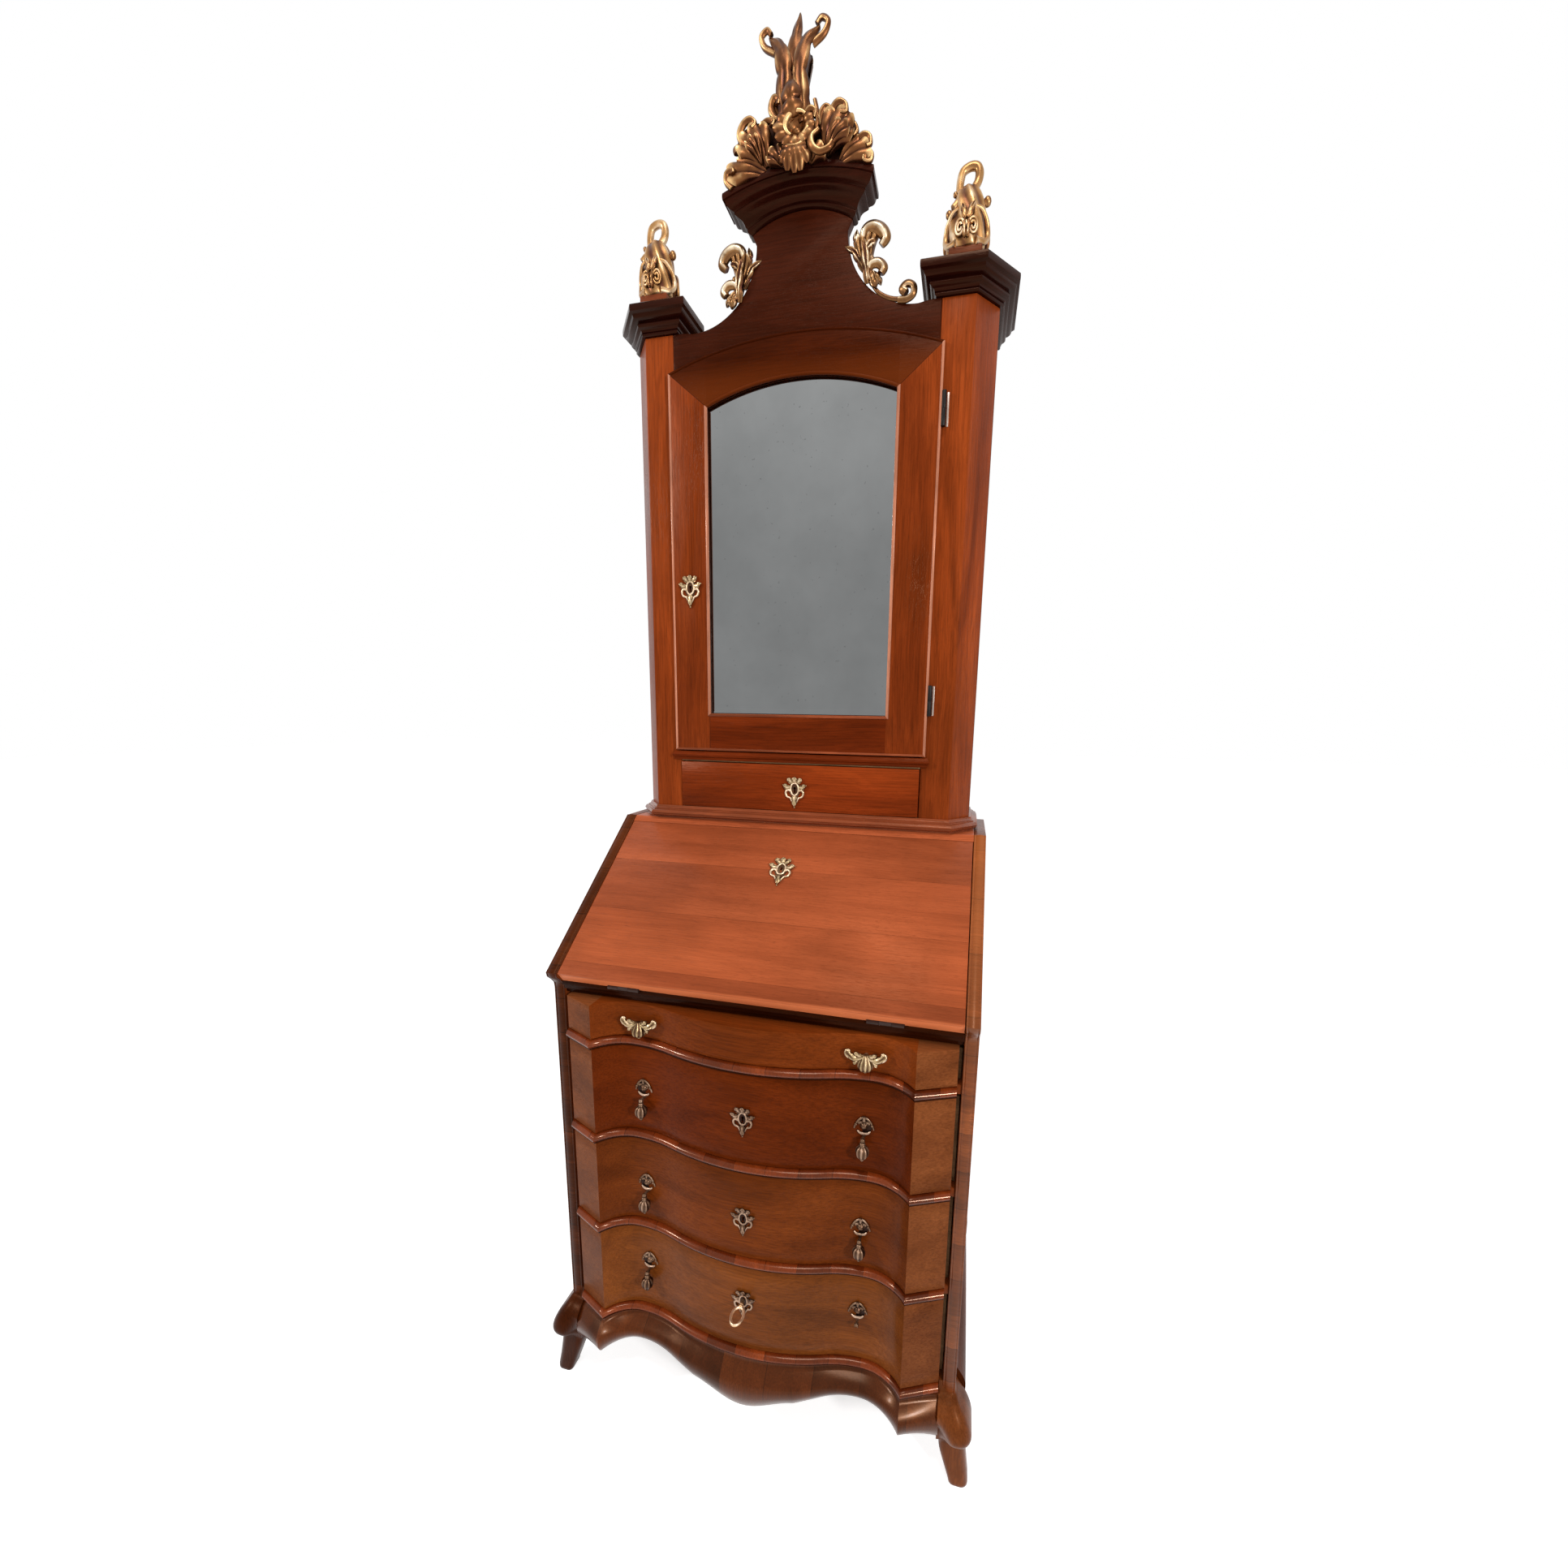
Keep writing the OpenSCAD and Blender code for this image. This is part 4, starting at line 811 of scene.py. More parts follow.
class DESK_OT_aprons(Piece, bpy.types.Operator):
    """Swelling front apron with veneer blocks, and the two side aprons"""
    bl_idname = "desk.aprons"
    bl_label = "Aprons"

    def execute(self, context):
        steps, back_y = 18, 38
        shares = [k / steps for k in range(steps + 1)]
        rings = []
        for x in front_steps(FRONT_HALF):
            low = apron_z(x)
            rings.append([(x, FACE_Y + wave(x) - swell_at(t), RAIL_Z - t * (RAIL_Z - low)) for t in shares]
                         + [(x, back_y, low), (x, back_y, RAIL_Z)])
        settled(lofted("front_apron", rings), "case", "walnut", "apron", "apron_front", angle=48)
        (_, y0, _), (_, y1, base_z) = cad("side_aprons")
        inner, outer, foot_z, rise, lengths = 349, 375, 104, 18, 24
        pieces = []
        for side in (-1, 1):
            rings = []
            for i in range(lengths + 1):
                y = y0 + (y1 - y0) * i / lengths
                z = foot_z + rise * math.sin(math.pi * i / lengths)
                face = [(side * (outer + 0.68 * swell_at(t)), y, base_z - t * (base_z - z)) for t in shares]
                rings.append([(side * inner, y, z), (side * inner, y, base_z)] + face)
            pieces.append(lofted("side_apron", rings))
        settled(joined("side_apron_boards", pieces), "case", "walnut", "side_apron", "side_aprons", angle=48)
        return {"FINISHED"}


# Rings of a knee and its foot: height, inner and outer x, front and back y.
KNEE = [(183, 352, 375, 25, 60), (164, 352, 376, 21, 60), (157, 350, 380, 8, 60), (149, 349, 386, -2, 60),
        (138, 349, 395, -11, 60), (125, 349, 402, -18, 60), (112, 349, 406, -21, 58), (102, 350, 404, -18, 55),
        (95, 351, 400, -10, 50), (90, 351, 397, -2, 45), (85, 351, 396, 1, 43), (62, 353, 398, 0, 41),
        (30, 363, 402, -2, 37), (8, 371, 405, -4, 33), (3, 372, 405, -4, 32), (0, 374, 403, -2, 30)]
KNEE_TOP, KNEE_LOW, ANKLE = KNEE[0][0], 84, 60


def knee_ring(ring, side, rear):
    """One ring in plan; the front knees run out of the apron's canted face."""
    z, x0, x1, y0, y1 = ring
    if rear:
        x1, y0 = min(x1, 397), max(y0, 0)
    c = min(x1 - x0, y1 - y0) * 0.26
    wide, steps = 1.5 * c, 6
    points = []
    for cx, cy, r, start in ((x1 - c, y1 - c, c, 0), (x0 + c, y1 - c, c, 90), (x0 + c, y0 + c, c, 180),
                             (x1 - wide, y0 + wide, wide, 270)):
        for k in range(steps + 1):
            q = math.radians(start + 90 * k / steps)
            points.append([cx + r * math.cos(q), cy + r * math.sin(q)])
    if not rear and z > KNEE_LOW:
        start = FRONT_HALF - 2
        reach = x0 + 1.9 * c - start
        for k in range(steps + 1):
            u = start + reach * k / steps
            on_front = min(u, FRONT_HALF)
            t = min(1, (KNEE_TOP - z) / (RAIL_Z - apron_z(on_front)))
            face = FACE_Y + wave(on_front) - swell_at(t)
            mix = ease_in(k / steps)
            points[14 + k] = [u, max(face + 0.4, y0 - 3) * (1 - mix) + y0 * mix]
    return [(side * x, CASE_D - y if rear else y, z) for x, y in points]


class DESK_OT_feet(Piece, bpy.types.Operator):
    """Four knees that swell out of the case, each on a small outward foot"""
    bl_idname = "desk.feet"
    bl_label = "Feet"

    def execute(self, context):
        dense = []
        for a, b, c, d in zip([KNEE[0]] + KNEE, KNEE, KNEE[1:], KNEE[2:] + [KNEE[-1]]):
            for t in (0, 0.25, 0.5, 0.75) if b[0] > ANKLE else (0,):
                dense.append([spline(*four, t) for four in zip(a, b, c, d)])
        dense.append(KNEE[-1])
        dense = [(z, max(x0, 349), min(x1, 408), max(y0, -22), min(y1, 60)) for z, x0, x1, y0, y1 in dense]
        # The left knees and feet take the darker finish as painted shade
        for side, name, finish, stands_for in ((1, "right", "foot", ["feet"]), (-1, "left", "left_foot_painted_shade", [])):
            made = [lofted("foot", [knee_ring(r, side, rear) for r in dense]) for rear in (False, True)]
            settled(joined(name + "_knees_and_feet", made), "case", "walnut", finish, *stands_for, angle=55)
        return {"FINISHED"}


# --- Desk interior and lid ---

class DESK_OT_desk_fittings(Piece, bpy.types.Operator):
    """Pigeonholes and the two small drawers between them"""
    bl_idname = "desk.desk_fittings"
    bl_label = "Desk fittings"

    def execute(self, context):
        standing_for("pigeonholes", "lining_wood", "lining")
        standing_for("small_drawer_left small_drawer_right", "walnut", "cabinet_drawer", 0.0008)
        return {"FINISHED"}


class DESK_OT_lid(Piece, bpy.types.Operator):
    """Writing lid of jointed boards with its hinges"""
    bl_idname = "desk.lid"
    bl_label = "Lid"

    def execute(self, context):
        standing_for("lid", "walnut", "lid", 0.0016, 3)
        # Hinges take the dark brown hinge finish, patina and painted shade
        standing_for("bed_hinges lid_hinges", "iron", "hinge_iron", 0.0003)
        return {"FINISHED"}


# --- Drawers of the chest ---

def keyhole_tool(x, y0, y1, z, r=3.2):
    outline = [(x + r * math.cos(math.radians(a)), z + r * math.sin(math.radians(a))) for a in range(-55, 236, 15)]
    outline += [(x - 1.9, z - 9.5), (x + 1.9, z - 9.5)]
    return plate("keyhole", outline, y0, y1)


class DESK_OT_drawers(Piece, bpy.types.Operator):
    """Serpentine fronts and drawer boxes of the four long drawers, and locks of the three deep ones"""
    bl_idname = "desk.drawers"
    bl_label = "Long drawers"

    def execute(self, context):
        e = 1.6
        for i, name in enumerate(DRAWERS):
            (_, _, z0), (_, back, z1) = LEVELS[i]
            z0, z1 = z0 + 0.3, z1 - 1.8
            rings = []
            for x in front_steps():
                f = FACE_Y + wave(x)
                ring = [(f + e, z0), (f + 0.3 * e, z0 + 0.3 * e), (f, z0 + e)]
                ring += [(f, z0 + (z1 - z0) * k / 6) for k in range(1, 6)]
                ring += [(f, z1 - e), (f + 0.3 * e, z1 - 0.3 * e), (f + e, z1), (back, z1), (back, z0)]
                rings.append([(x, y, z) for y, z in ring])
            front = lofted(name + "_front_board", rings)
            locked = name != "slim"
            if locked:
                cut(front, keyhole_tool(0, FACE_Y - 5, back + 5, FIT_Z[i]))
            # Canted ends take the paler cant finish, a painted sheen
            painted(front, (name + "_front", "cant"), lambda x, z: 1 if abs(x) > PEAK else 0)
            settled(front, name + "_drawer", "walnut", None, name + "_drawer_front", angle=40)
            standing_for(name + "_drawer_box", "lining_wood", "lining", 0.0008)
            if locked:
                standing_for(name + "_drawer_lock", "iron", "iron", 0.0005)
        return {"FINISHED"}


# --- Carved and cast pieces ---

def clamped(tone):
    return max(0, min(1, tone))


def leaf(name, spine, width, lobes=4, bulge=0.25, flutes=3, thick=None, curl=0.1, steps=(32, 20),
         facing=(0, -1, 0), base=0.4, tip=0.12, notch=0.35, groove=1.0):
    """A carved leaf laid along a spine: lobed edges, a sunk vein and ridges that fan out to the lobes.
    base and tip are its width there as shares of the whole, notch the depth of the gaps between its lobes."""
    thick = thick if thick is not None else sizes().leaf_thick * 1000
    cols = steps[1] * 2
    rings, relief = [], []
    for t, p, front, side in stations(spine, steps[0], facing):
        grow = base + (1 - base) * math.sin(math.pi / 2 * min(1, t / 0.45))
        fall = 1 if t < 0.5 else 1 - (1 - tip) * ((t - 0.5) / 0.5) ** 1.8
        lobe = abs(math.sin(math.pi * lobes * (t * 0.96 + 0.02))) ** 0.55
        w = width * grow * fall * (1 - notch + notch * lobe)
        ring, tones = [], []
        for j in range(cols):
            a = 2 * math.pi * (j + 0.5) / cols
            v, s = math.cos(a), math.sin(a)
            # Front: ridges lighter, the sunk vein, gaps between lobes and side edges darker; back dark: patina and
            # painted shade
            if s > 0:
                ridge = math.cos(2 * math.pi * (flutes * abs(v) ** 0.8 - 0.35 * lobes * t))
                vein = math.exp(-(v / 0.13) ** 2)
                h = thick * s ** 0.4 + groove * thick * (0.34 * ridge * s - 0.5 * vein)
                tone = 0.55 + min(1, groove) * (0.36 * ridge - 0.45 * vein) - 0.35 * (1 - lobe) * abs(v)
                tone -= 0.25 * (1 - s) ** 3
            else:
                h = -0.35 * thick * abs(s) ** 0.5
                tone = 0.15
            h += bulge * w * (1 - v * v) + curl * w * abs(v) ** 4
            ring.append(tuple(p + side * (v * w) + front * h))
            tones.append(clamped(tone))
        rings.append(ring)
        relief.append(tones)
    return lofted(name, rings, relief)


def ribbon(name, spine, radius, steps=40, sides=12, flat=1.0, grooves=0, facing=(0, -1, 0), tone=0.6):
    """A rounded rod along a line; radius is a number, a pair for its two ends or a rule of the share along it."""
    groove_depth = 0.22
    rings, relief = [], []
    for t, p, front, side in stations(spine, steps, facing):
        if callable(radius):
            r = radius(t)
        else:
            r = radius[0] + (radius[1] - radius[0]) * t if isinstance(radius, tuple) else radius
        ring, tones = [], []
        for k in range(sides):
            a = 2 * math.pi * k / sides
            g = 1 - groove_depth * (0.5 - 0.5 * math.cos(grooves * a)) if grooves else 1
            ring.append(tuple(p + side * (r * g * math.cos(a)) + front * (r * g * flat * math.sin(a))))
            # Lighter on the side turned to the front and darker behind: painted highlight and painted shade
            tones.append(clamped(tone + 0.35 * math.sin(a) - (0.5 * (1 - g) / groove_depth if grooves else 0)))
        rings.append(ring)
        relief.append(tones)
    return lofted(name, rings, relief)


def swelling(low, more):
    """A ribbon's radius that swells by so much in its middle."""
    return lambda t: low + more * math.sin(math.pi * t)


def fan(name, root, reach, start, end, ribs, out=(0, 20, 6), sweep=0.0, roll=5.0, thick=3.0, hand=1):
    """A shell-like leaf: ribs spread from its root between two angles to a scalloped rim that rolls over.
    reach and out give the length and the forward swell at the start, the middle and the end; hand -1 turns
    it back."""
    inner, rows, cols = 0.1, 20, ribs * 8

    def mix(three, t):
        a, b, c = three
        return a * (1 - t) ** 2 + 2 * t * (1 - t) * (2 * b - (a + c) / 2) + c * t * t

    rings, relief = [], []
    for i in range(rows + 1):
        t = i / rows
        curl = max(0, (t - 0.72) / 0.28) ** 2
        front, back, tones = [], [], []
        for j in range(cols + 1):
            u = j / cols
            crest = abs(math.sin(math.pi * ribs * u)) ** 0.7
            a = math.radians(start + (end - start) * u + sweep * t * t)
            far = mix(reach, u) * (1 - 0.09 * (1 - crest) * t ** 3)
            r = far * (inner + (1 - inner) * t) - roll * 0.5 * curl
            lift = mix(out, t) + thick * 0.85 * (crest - 0.5) * min(1, 2.2 * t) + roll * curl * (0.6 + 0.4 * crest)
            lift -= 3 * abs(2 * u - 1) ** 5
            x, z = root[0] + r * math.cos(a), root[2] + r * math.sin(a)
            front.append((x, root[1] - hand * lift, z))
            back.append((x, root[1] - hand * (lift - thick * (1.3 + 1.2 * (1 - t))), z))
            # Tone darker towards the root and on the back and lighter on the rolled rim: painted shade and painted
            # highlight
            tones.append(clamped(0.2 + 0.44 * crest - 0.24 * (1 - t) + 0.5 * curl))
        rings.append(front + back[::-1])
        relief.append(tones + [0.12] * (cols + 1))
    return lofted(name, rings, relief)


def key_plate_pieces(x, y, z, size=1.0):
    """A pierced key plate: a rim round the keyhole, a crown, two horned scrolls and a pendant."""

    def spot(px, pz, out=0.0):
        return (x + px * size, y - out * size, z + pz * size)

    def small_leaf(name, width, side, *points):
        made.append(leaf(name, [spot(side * px, pz, out) for px, pz, out in points], width * size, lobes=2,
                         steps=(12, 8), thick=1.3 * size, bulge=0.15, flutes=1, curl=0.3))

    base = plate("backing", [(x + px * size, z + pz * size) for px, pz in oval(9.2, 13, -2, 15)], y - 1.0, y)
    cut(base, keyhole_tool(x, y - 4, y + 4, z, 2.6))
    made = [base]
    made.append(ribbon("rim", [spot(px, pz, 1.2) for px, pz in oval(6.2, 9.5, -1.5, 20, 361)], 1.5 * size, 30, 8))
    small_leaf("crown", 5.8, 1, (0, 8, 0.6), (0, 13, 1.4), (0, 18, 2.6))
    for side in (-1, 1):
        small_leaf("crown_side", 4.6, side, (3, 8, 0.6), (8, 12.5, 1.2), (11, 16, 2.4))
        small_leaf("horn", 4.4, side, (6, 2, 0.6), (12, 1, 1.2), (15, 4, 1.6), (18, 5.5, 2.6))
        made.append(turned("bead", [(0, -1.7), (1.3, -1), (1.7, 0), (1.3, 1), (0, 1.7)],
                           spot(side * 18, 4.6, 2.2), 10))
        line = [spot(side * px, pz, 1.3) for px, pz in (
            (6, -4), (11, -3), (14, -7), (12, -13), (7, -15), (4.5, -19), (2, -24))]
        made.append(ribbon("scroll", line, lambda t: (2.3 - 1.1 * t) * size, 24, 8))
    small_leaf("pendant", 4.8, 1, (0, -11, 0.6), (0, -19, 1.8), (0, -29, 1.4))
    made.append(turned("bead", [(0, -1.6), (1.2, -1), (1.6, 0), (1.2, 1), (0, 1.6)], spot(0, -30, 1.5), 10))
    return made


def pull_plate_pieces(x, y, z, slope):
    """A palmette of leaves over a round boss, the post that the drop hangs from and its pin."""

    def spots(side, *points):
        return [(x + side * px, y - out + slope * (side * px), z + pz) for px, pz, out in points]

    small = dict(lobes=2, steps=(12, 8), thick=1.6, bulge=0.2, flutes=1, curl=0.3)
    made = []
    for side in (-1, 1):
        line = spots(side, (0, 15, 2), (6, 12.5, 2.4), (11, 7, 2.4), (14.5, -0.5, 2.2), (16, -6, 1.8))
        made.append(ribbon("arm", line, lambda t: 2.1 - 0.6 * t, 24, 10, grooves=2, tone=0.75))
        made.append(turned("bead", [(0, -2.4), (1.8, -1.6), (2.5, 0), (1.8, 1.6), (0, 2.4)],
                           spots(side, (13.4, 2, 3.4))[0], 12))
        made.append(leaf("palm", spots(side, (3, 4, 1.2), (7, 7, 2.0), (9.5, 2, 2.6)), 3.0, **small))
    made.append(leaf("crown", spots(1, (0, 6, 1.2), (0, 12, 2.6), (0, 19, 2.8)), 3.6, **small))
    made.append(plate("backing", [(x + px, z + pz) for px, pz in oval(13, 15, -3, 20)], y - 0.6, y + 1.5))
    boss = [(0, -6.4), (2.6, -5.9), (4.4, -4.6), (5.6, -2.6), (6.8, -1.4), (7.4, -1.0), (7.4, 0), (0, 0)]
    made.append(turned("boss", boss, (x, y, z - 1), 28, "Y", 9, 0.07))
    smile = spots(1, (-11, -9, 2.6), (-7, -12.5, 2.6), (0, -14.2, 2.6), (7, -12.5, 2.6), (11, -9, 2.6))
    made.append(ribbon("smile", smile, swelling(1.2, 1.3), 26, 10, tone=0.8))
    pin = (x, y - DROP_OUT, z - PIN_DROP)
    stem = [(0, DROP_OUT + 1), (3.4, DROP_OUT + 1), (3, DROP_OUT - 2), (2.2, DROP_OUT - 4), (2.2, 7), (3, 5),
            (3.4, 1.5), (3, 0.2), (0, 0.2)]
    made.append(turned("post", stem, pin, 18, "Y"))
    for side in (-1, 1):
        cheek = [(r, side * h) for r, h in ((0, 1.8), (3.4, 1.8), (3.2, 2.6), (2, 3.6), (0, 4))]
        made.append(turned("cheek", cheek, pin, 16, "X"))
    return made


def drop_pieces(x, y, z):
    """A fluted bell that hangs from its pin."""
    bell = [(0, -9), (5, -9.4), (8.2, -11.6), (10.6, -14.6), (11.4, -18), (11.4, -21.4), (10.6, -25), (9, -28.4),
            (6.6, -31.2), (4, -32.8), (0, -33.2)]
    return [turned(name, profile, (x, y, z), *more) for name, profile, *more in (
        ("eye", [(1.35, -1.5), (3.2, -1.5), (3.4, 0), (3.2, 1.5), (1.35, 1.5)], 20, "X"),
        ("link", [(0, -3), (1.3, -3), (1.3, -8), (0, -8)], 12),
        ("neck", [(0, -3), (3.4, -3.4), (4.8, -4.6), (4.8, -6.4), (3.8, -7.6), (4.6, -8.6), (4.2, -9.6),
                  (0, -10)], 20),
        ("bell", bell, 60, "Z", 8, 0.12),
        ("tip", [(0, -32), (3.4, -32.6), (3.9, -34), (2.8, -36), (1.4, -38), (0, -39)], 16))]


class DESK_OT_drawer_brasses(Piece, bpy.types.Operator):
    """Key plates, pull plates and hanging drops of the deep drawers"""
    bl_idname = "desk.drawer_brasses"
    bl_label = "Drawer brasses"

    def execute(self, context):
        face = FACE_Y + wave(PULL_X)
        slope = (wave(PULL_X + 5) - wave(PULL_X - 5)) / 10
        for name, z in zip(DRAWERS[:3], FIT_Z):
            made = key_plate_pieces(0, FACE_Y + 0.2, z, 1.15)
            for side in (-1, 1):
                made += pull_plate_pieces(side * PULL_X, face + 0.4, z, side * slope)
            settled(joined(name + "_plates", made), name + "_drawer", "brass", "brass", name + "_drawer_brasses",
                    angle=60)
            for side, word in ((-1, "left"), (1, "right")):
                node = f"{name}_drop_{word}"
                if node in nodes:
                    drop = joined(node + "_bell", drop_pieces(side * PULL_X, face - DROP_OUT, z - PIN_DROP))
                    settled(drop, node, "brass", "brass", node, angle=60)
        return {"FINISHED"}


class DESK_OT_slim_handles(Piece, bpy.types.Operator):
    """Two gilt swag handles: rising leafy arms with curled ends and a hanging shell"""
    bl_idname = "desk.slim_handles"
    bl_label = "Slim drawer handles"

    def execute(self, context):
        handles = []
        z, larger, stem_long = FIT_Z[3], 1.14, 11.4
        for where in (-1, 1):
            x = where * PULL_X
            y = FACE_Y + wave(x) - 10
            stem = [(0, -4), (3.6, -3.6), (4, -2), (3, 0), (3, 9), (6, 10.2), (7, stem_long), (0, stem_long)]
            shell = [(0, 6.4), (4, 6), (6, 4), (7, 1), (9.5, -3), (11.4, -7), (11.8, -10.5), (10.6, -14),
                     (8, -16.6), (4.5, -18.4), (2.2, -19), (2.6, -20.4), (0, -21)]
            made = [turned("stem", stem, (x, y, z + 1), 20, "Y"),
                    turned("shell", shell, (x, y - 1.5, z), 56, "Z", 9, 0.16)]
            for side in (-1, 1):
                def spots(*points):
                    return [(x + side * px, y + py, z + pz) for px, py, pz in points]

                arm = spots((2, 0, 4), (8, -1, 1), (15, -1.5, 0.5), (21, -1.5, 3), (25.5, -1, 7), (27, 0, 9))
                made.append(leaf("arm", arm, 5.6, 3, 0.5, 1, 2.8, 0.3, (24, 10), base=0.6, tip=0.6))
                curl = spots((16, -2, 0), (23, -2, 0), (28, -2, 4), (28, -2, 9), (24, -2, 10.5), (22.5, -2, 7.5))
                made.append(ribbon("curl", curl, lambda t: 2.9 - 1.0 * t, 24, 10))
                for name, width, line in (("sprig", 4.2, ((5, -3, 4), (11, -4, 7), (16, -5, 11))),
                                          ("drip", 3.8, ((9, -2, 0), (14, -3, -5), (17, -4, -9)))):
                    made.append(leaf(name, spots(*line), width, 2, 0.3, 1, 1.8, 0.3, (12, 8)))
            handle = joined("handle", made)
            middle, foot = at(x, y, z), at(x, y + stem_long, z).y
            for v in handle.data.vertices:
                v.co = middle + (v.co - middle) * larger
                v.co.y = min(v.co.y, foot)
            handles.append(handle)
        settled(joined("leaf_handles", handles), "slim_drawer", "gilt_brass", "pale", "slim_drawer_handles",
                angle=60)
        return {"FINISHED"}


class DESK_OT_key(Piece, bpy.types.Operator):
    """Key with a pale ring bow, a moulded collar and a bit"""
    bl_idname = "desk.key"
    bl_label = "Key"

    def execute(self, context):
        (x0, y0, _), (x1, y1, _) = cad("key")
        z = FIT_Z[0]
        ring_r, bow_long = 2.6, 19.5
        bow_wide, bow_tall = (x1 - x0) / 2 - ring_r, bow_long - ring_r
        loop = []
        for a in range(0, 361, 15):
            s, c = math.sin(math.radians(a)), math.cos(math.radians(a))
            loop.append((bow_wide * s * (1 + 0.07 * c), y0 + bow_long + bow_tall * c, z))
        made = [ribbon("bow", loop, ring_r, 48, 12, facing=(0, 0, 1), tone=0.7)]
        far = y0 + bow_long + bow_long
        collar = ((0, -4), (3, -4), (4.4, -2.5), (4.4, -0.5), (2.8, 0.5), (3.8, 2), (3.8, 3.4), (2.8, 5))
        shaft = [(r, far + y) for r, y in collar] + [(2.8, y1 - 0.6), (2.2, y1), (0, y1)]
        made.append(turned("shaft", shaft, (0, 0, z), 20, "Y"))
        made.append(eased(board("bit", -1, 1, z, z - 8.5, y1 - 4.4, y1 - 0.7), 0.0003))
        settled(joined("drawer_key", made), "key", "brass", "bright_brass", "key", angle=60)
        return {"FINISHED"}


# --- Cabinet ---

CAB_SET = 306
CAB_SIDE, _, POST_TOP = cad("corner_posts")[1]
CANT_W, CANT_D = 39, 51
CAB_HALF = CAB_SIDE - CANT_W
CANT_Y = CAB_SET + CANT_D
CANT_A = math.atan2(CANT_D, CANT_W)
LEAN, QUARTER = math.tan(CANT_A / 2), math.tan(math.pi / 4 - CANT_A / 2)
HOLE_HALF = CAB_HALF - 56.5


def lock_case(x, z, half_w, half_h, y0, y1):
    return eased(board("lock_case", x - half_w, x + half_w, z - half_h, z + half_h, y0, y1), 0.0006)


class DESK_OT_cabinet(Piece, bpy.types.Operator):
    """Cabinet sides, canted posts, shelves and back"""
    bl_idname = "desk.cabinet"
    bl_label = "Cabinet case"

    def execute(self, context):
        standing_for("cabinet_sides", "walnut", "case")
        standing_for("corner_posts", "walnut", "post", 0.002, 3)
        standing_for("cabinet_boards", "lining_wood", "lining")
        standing_for("cabinet_back", "lining_wood", "back")
        return {"FINISHED"}


class DESK_OT_cabinet_mouldings(Piece, bpy.types.Operator):
    """Moulding round the cabinet's foot and the ledge under the door"""
    bl_idname = "desk.cabinet_mouldings"
    bl_label = "Cabinet mouldings"

    def execute(self, context):
        (_, _, z0), (_, _, z1) = cad("cabinet_moulding")
        tall = z1 - z0
        profile = moulded((0, 0), (6, 0), (6, 3), (12, 5, 1), (15.4, 8.5, 1.2), (15.4, 14, 1.6), (12, 17, 0.8),
                          (9.5, 18), (9.5, 19.5), (4, 24, -1.4), (3.4, tall), (0, tall))

        def outline(p):
            """The cabinet's canted outline, p outside it, from back right to back left."""
            right = [(CAB_SIDE + p, CASE_D), (CAB_SIDE + p, CANT_Y - p * QUARTER),
                     (CAB_HALF + p * LEAN, CAB_SET - p)]
            return right + mirrored(right)

        rings = [[(*outline(p)[k], z0 + h) for p, h in profile] for k in range(6)]
        settled(lofted("cabinet_foot_moulding", rings), "case", "walnut", "moulding", "cabinet_moulding", angle=35)
        (x0, _, z0), (x1, y1, z1) = cad("door_ledge")
        tall, deep = z1 - z0, 10
        profile = moulded((0, 0), (5, 0), (6, 2), (6, 5.5), (9.5, 9, 1.2), (9.5, 11.5, 0.6), (7, 14),
                          (6, tall - 1), (5, tall), (0, tall))
        rings = [[(x + toward * (deep - p) * 0.8, y1 - p, z0 + h) for p, h in profile]
                 for x, toward in ((x0, 1), (x1, -1))]
        settled(lofted("ledge_moulding", rings), "case", "walnut", "rail", "door_ledge", angle=35)
        return {"FINISHED"}


class DESK_OT_cabinet_drawer(Piece, bpy.types.Operator):
    """Drawer under the mirrored door, its box, lock and key plate"""
    bl_idname = "desk.cabinet_drawer"
    bl_label = "Cabinet drawer"

    def execute(self, context):
        standing_for("cabinet_drawer_front", "walnut", "cabinet_drawer", 0.0018, 3)
        standing_for("cabinet_drawer_box", "lining_wood", "lining", 0.0008)
        (_, y0, z0), (_, _, z1) = cad("cabinet_drawer_front")
        middle = (z0 + z1) / 2
        made = key_plate_pieces(0, y0 + 0.1, middle, 1.3)
        made.append(lock_case(0, middle, 28, 22, CAB_SET + 18, CAB_SET + 27))
        settled(joined("cabinet_lock_plate", made), "cabinet_drawer", "brass", "pale", "cabinet_drawer_lock",
                angle=60)
        return {"FINISHED"}


(_, DOOR_FRONT, DOOR_Z), (DOOR_HALF, _, DOOR_TOP) = cad("door_frame")
DOOR_RISE = 44
DOOR_SHOULDER = DOOR_TOP - DOOR_RISE
SIGHT_HALF, SIGHT_Z = DOOR_HALF - 74.9, DOOR_Z + 72
SIGHT_TOP, SIGHT_RISE = DOOR_SHOULDER - 62, 36


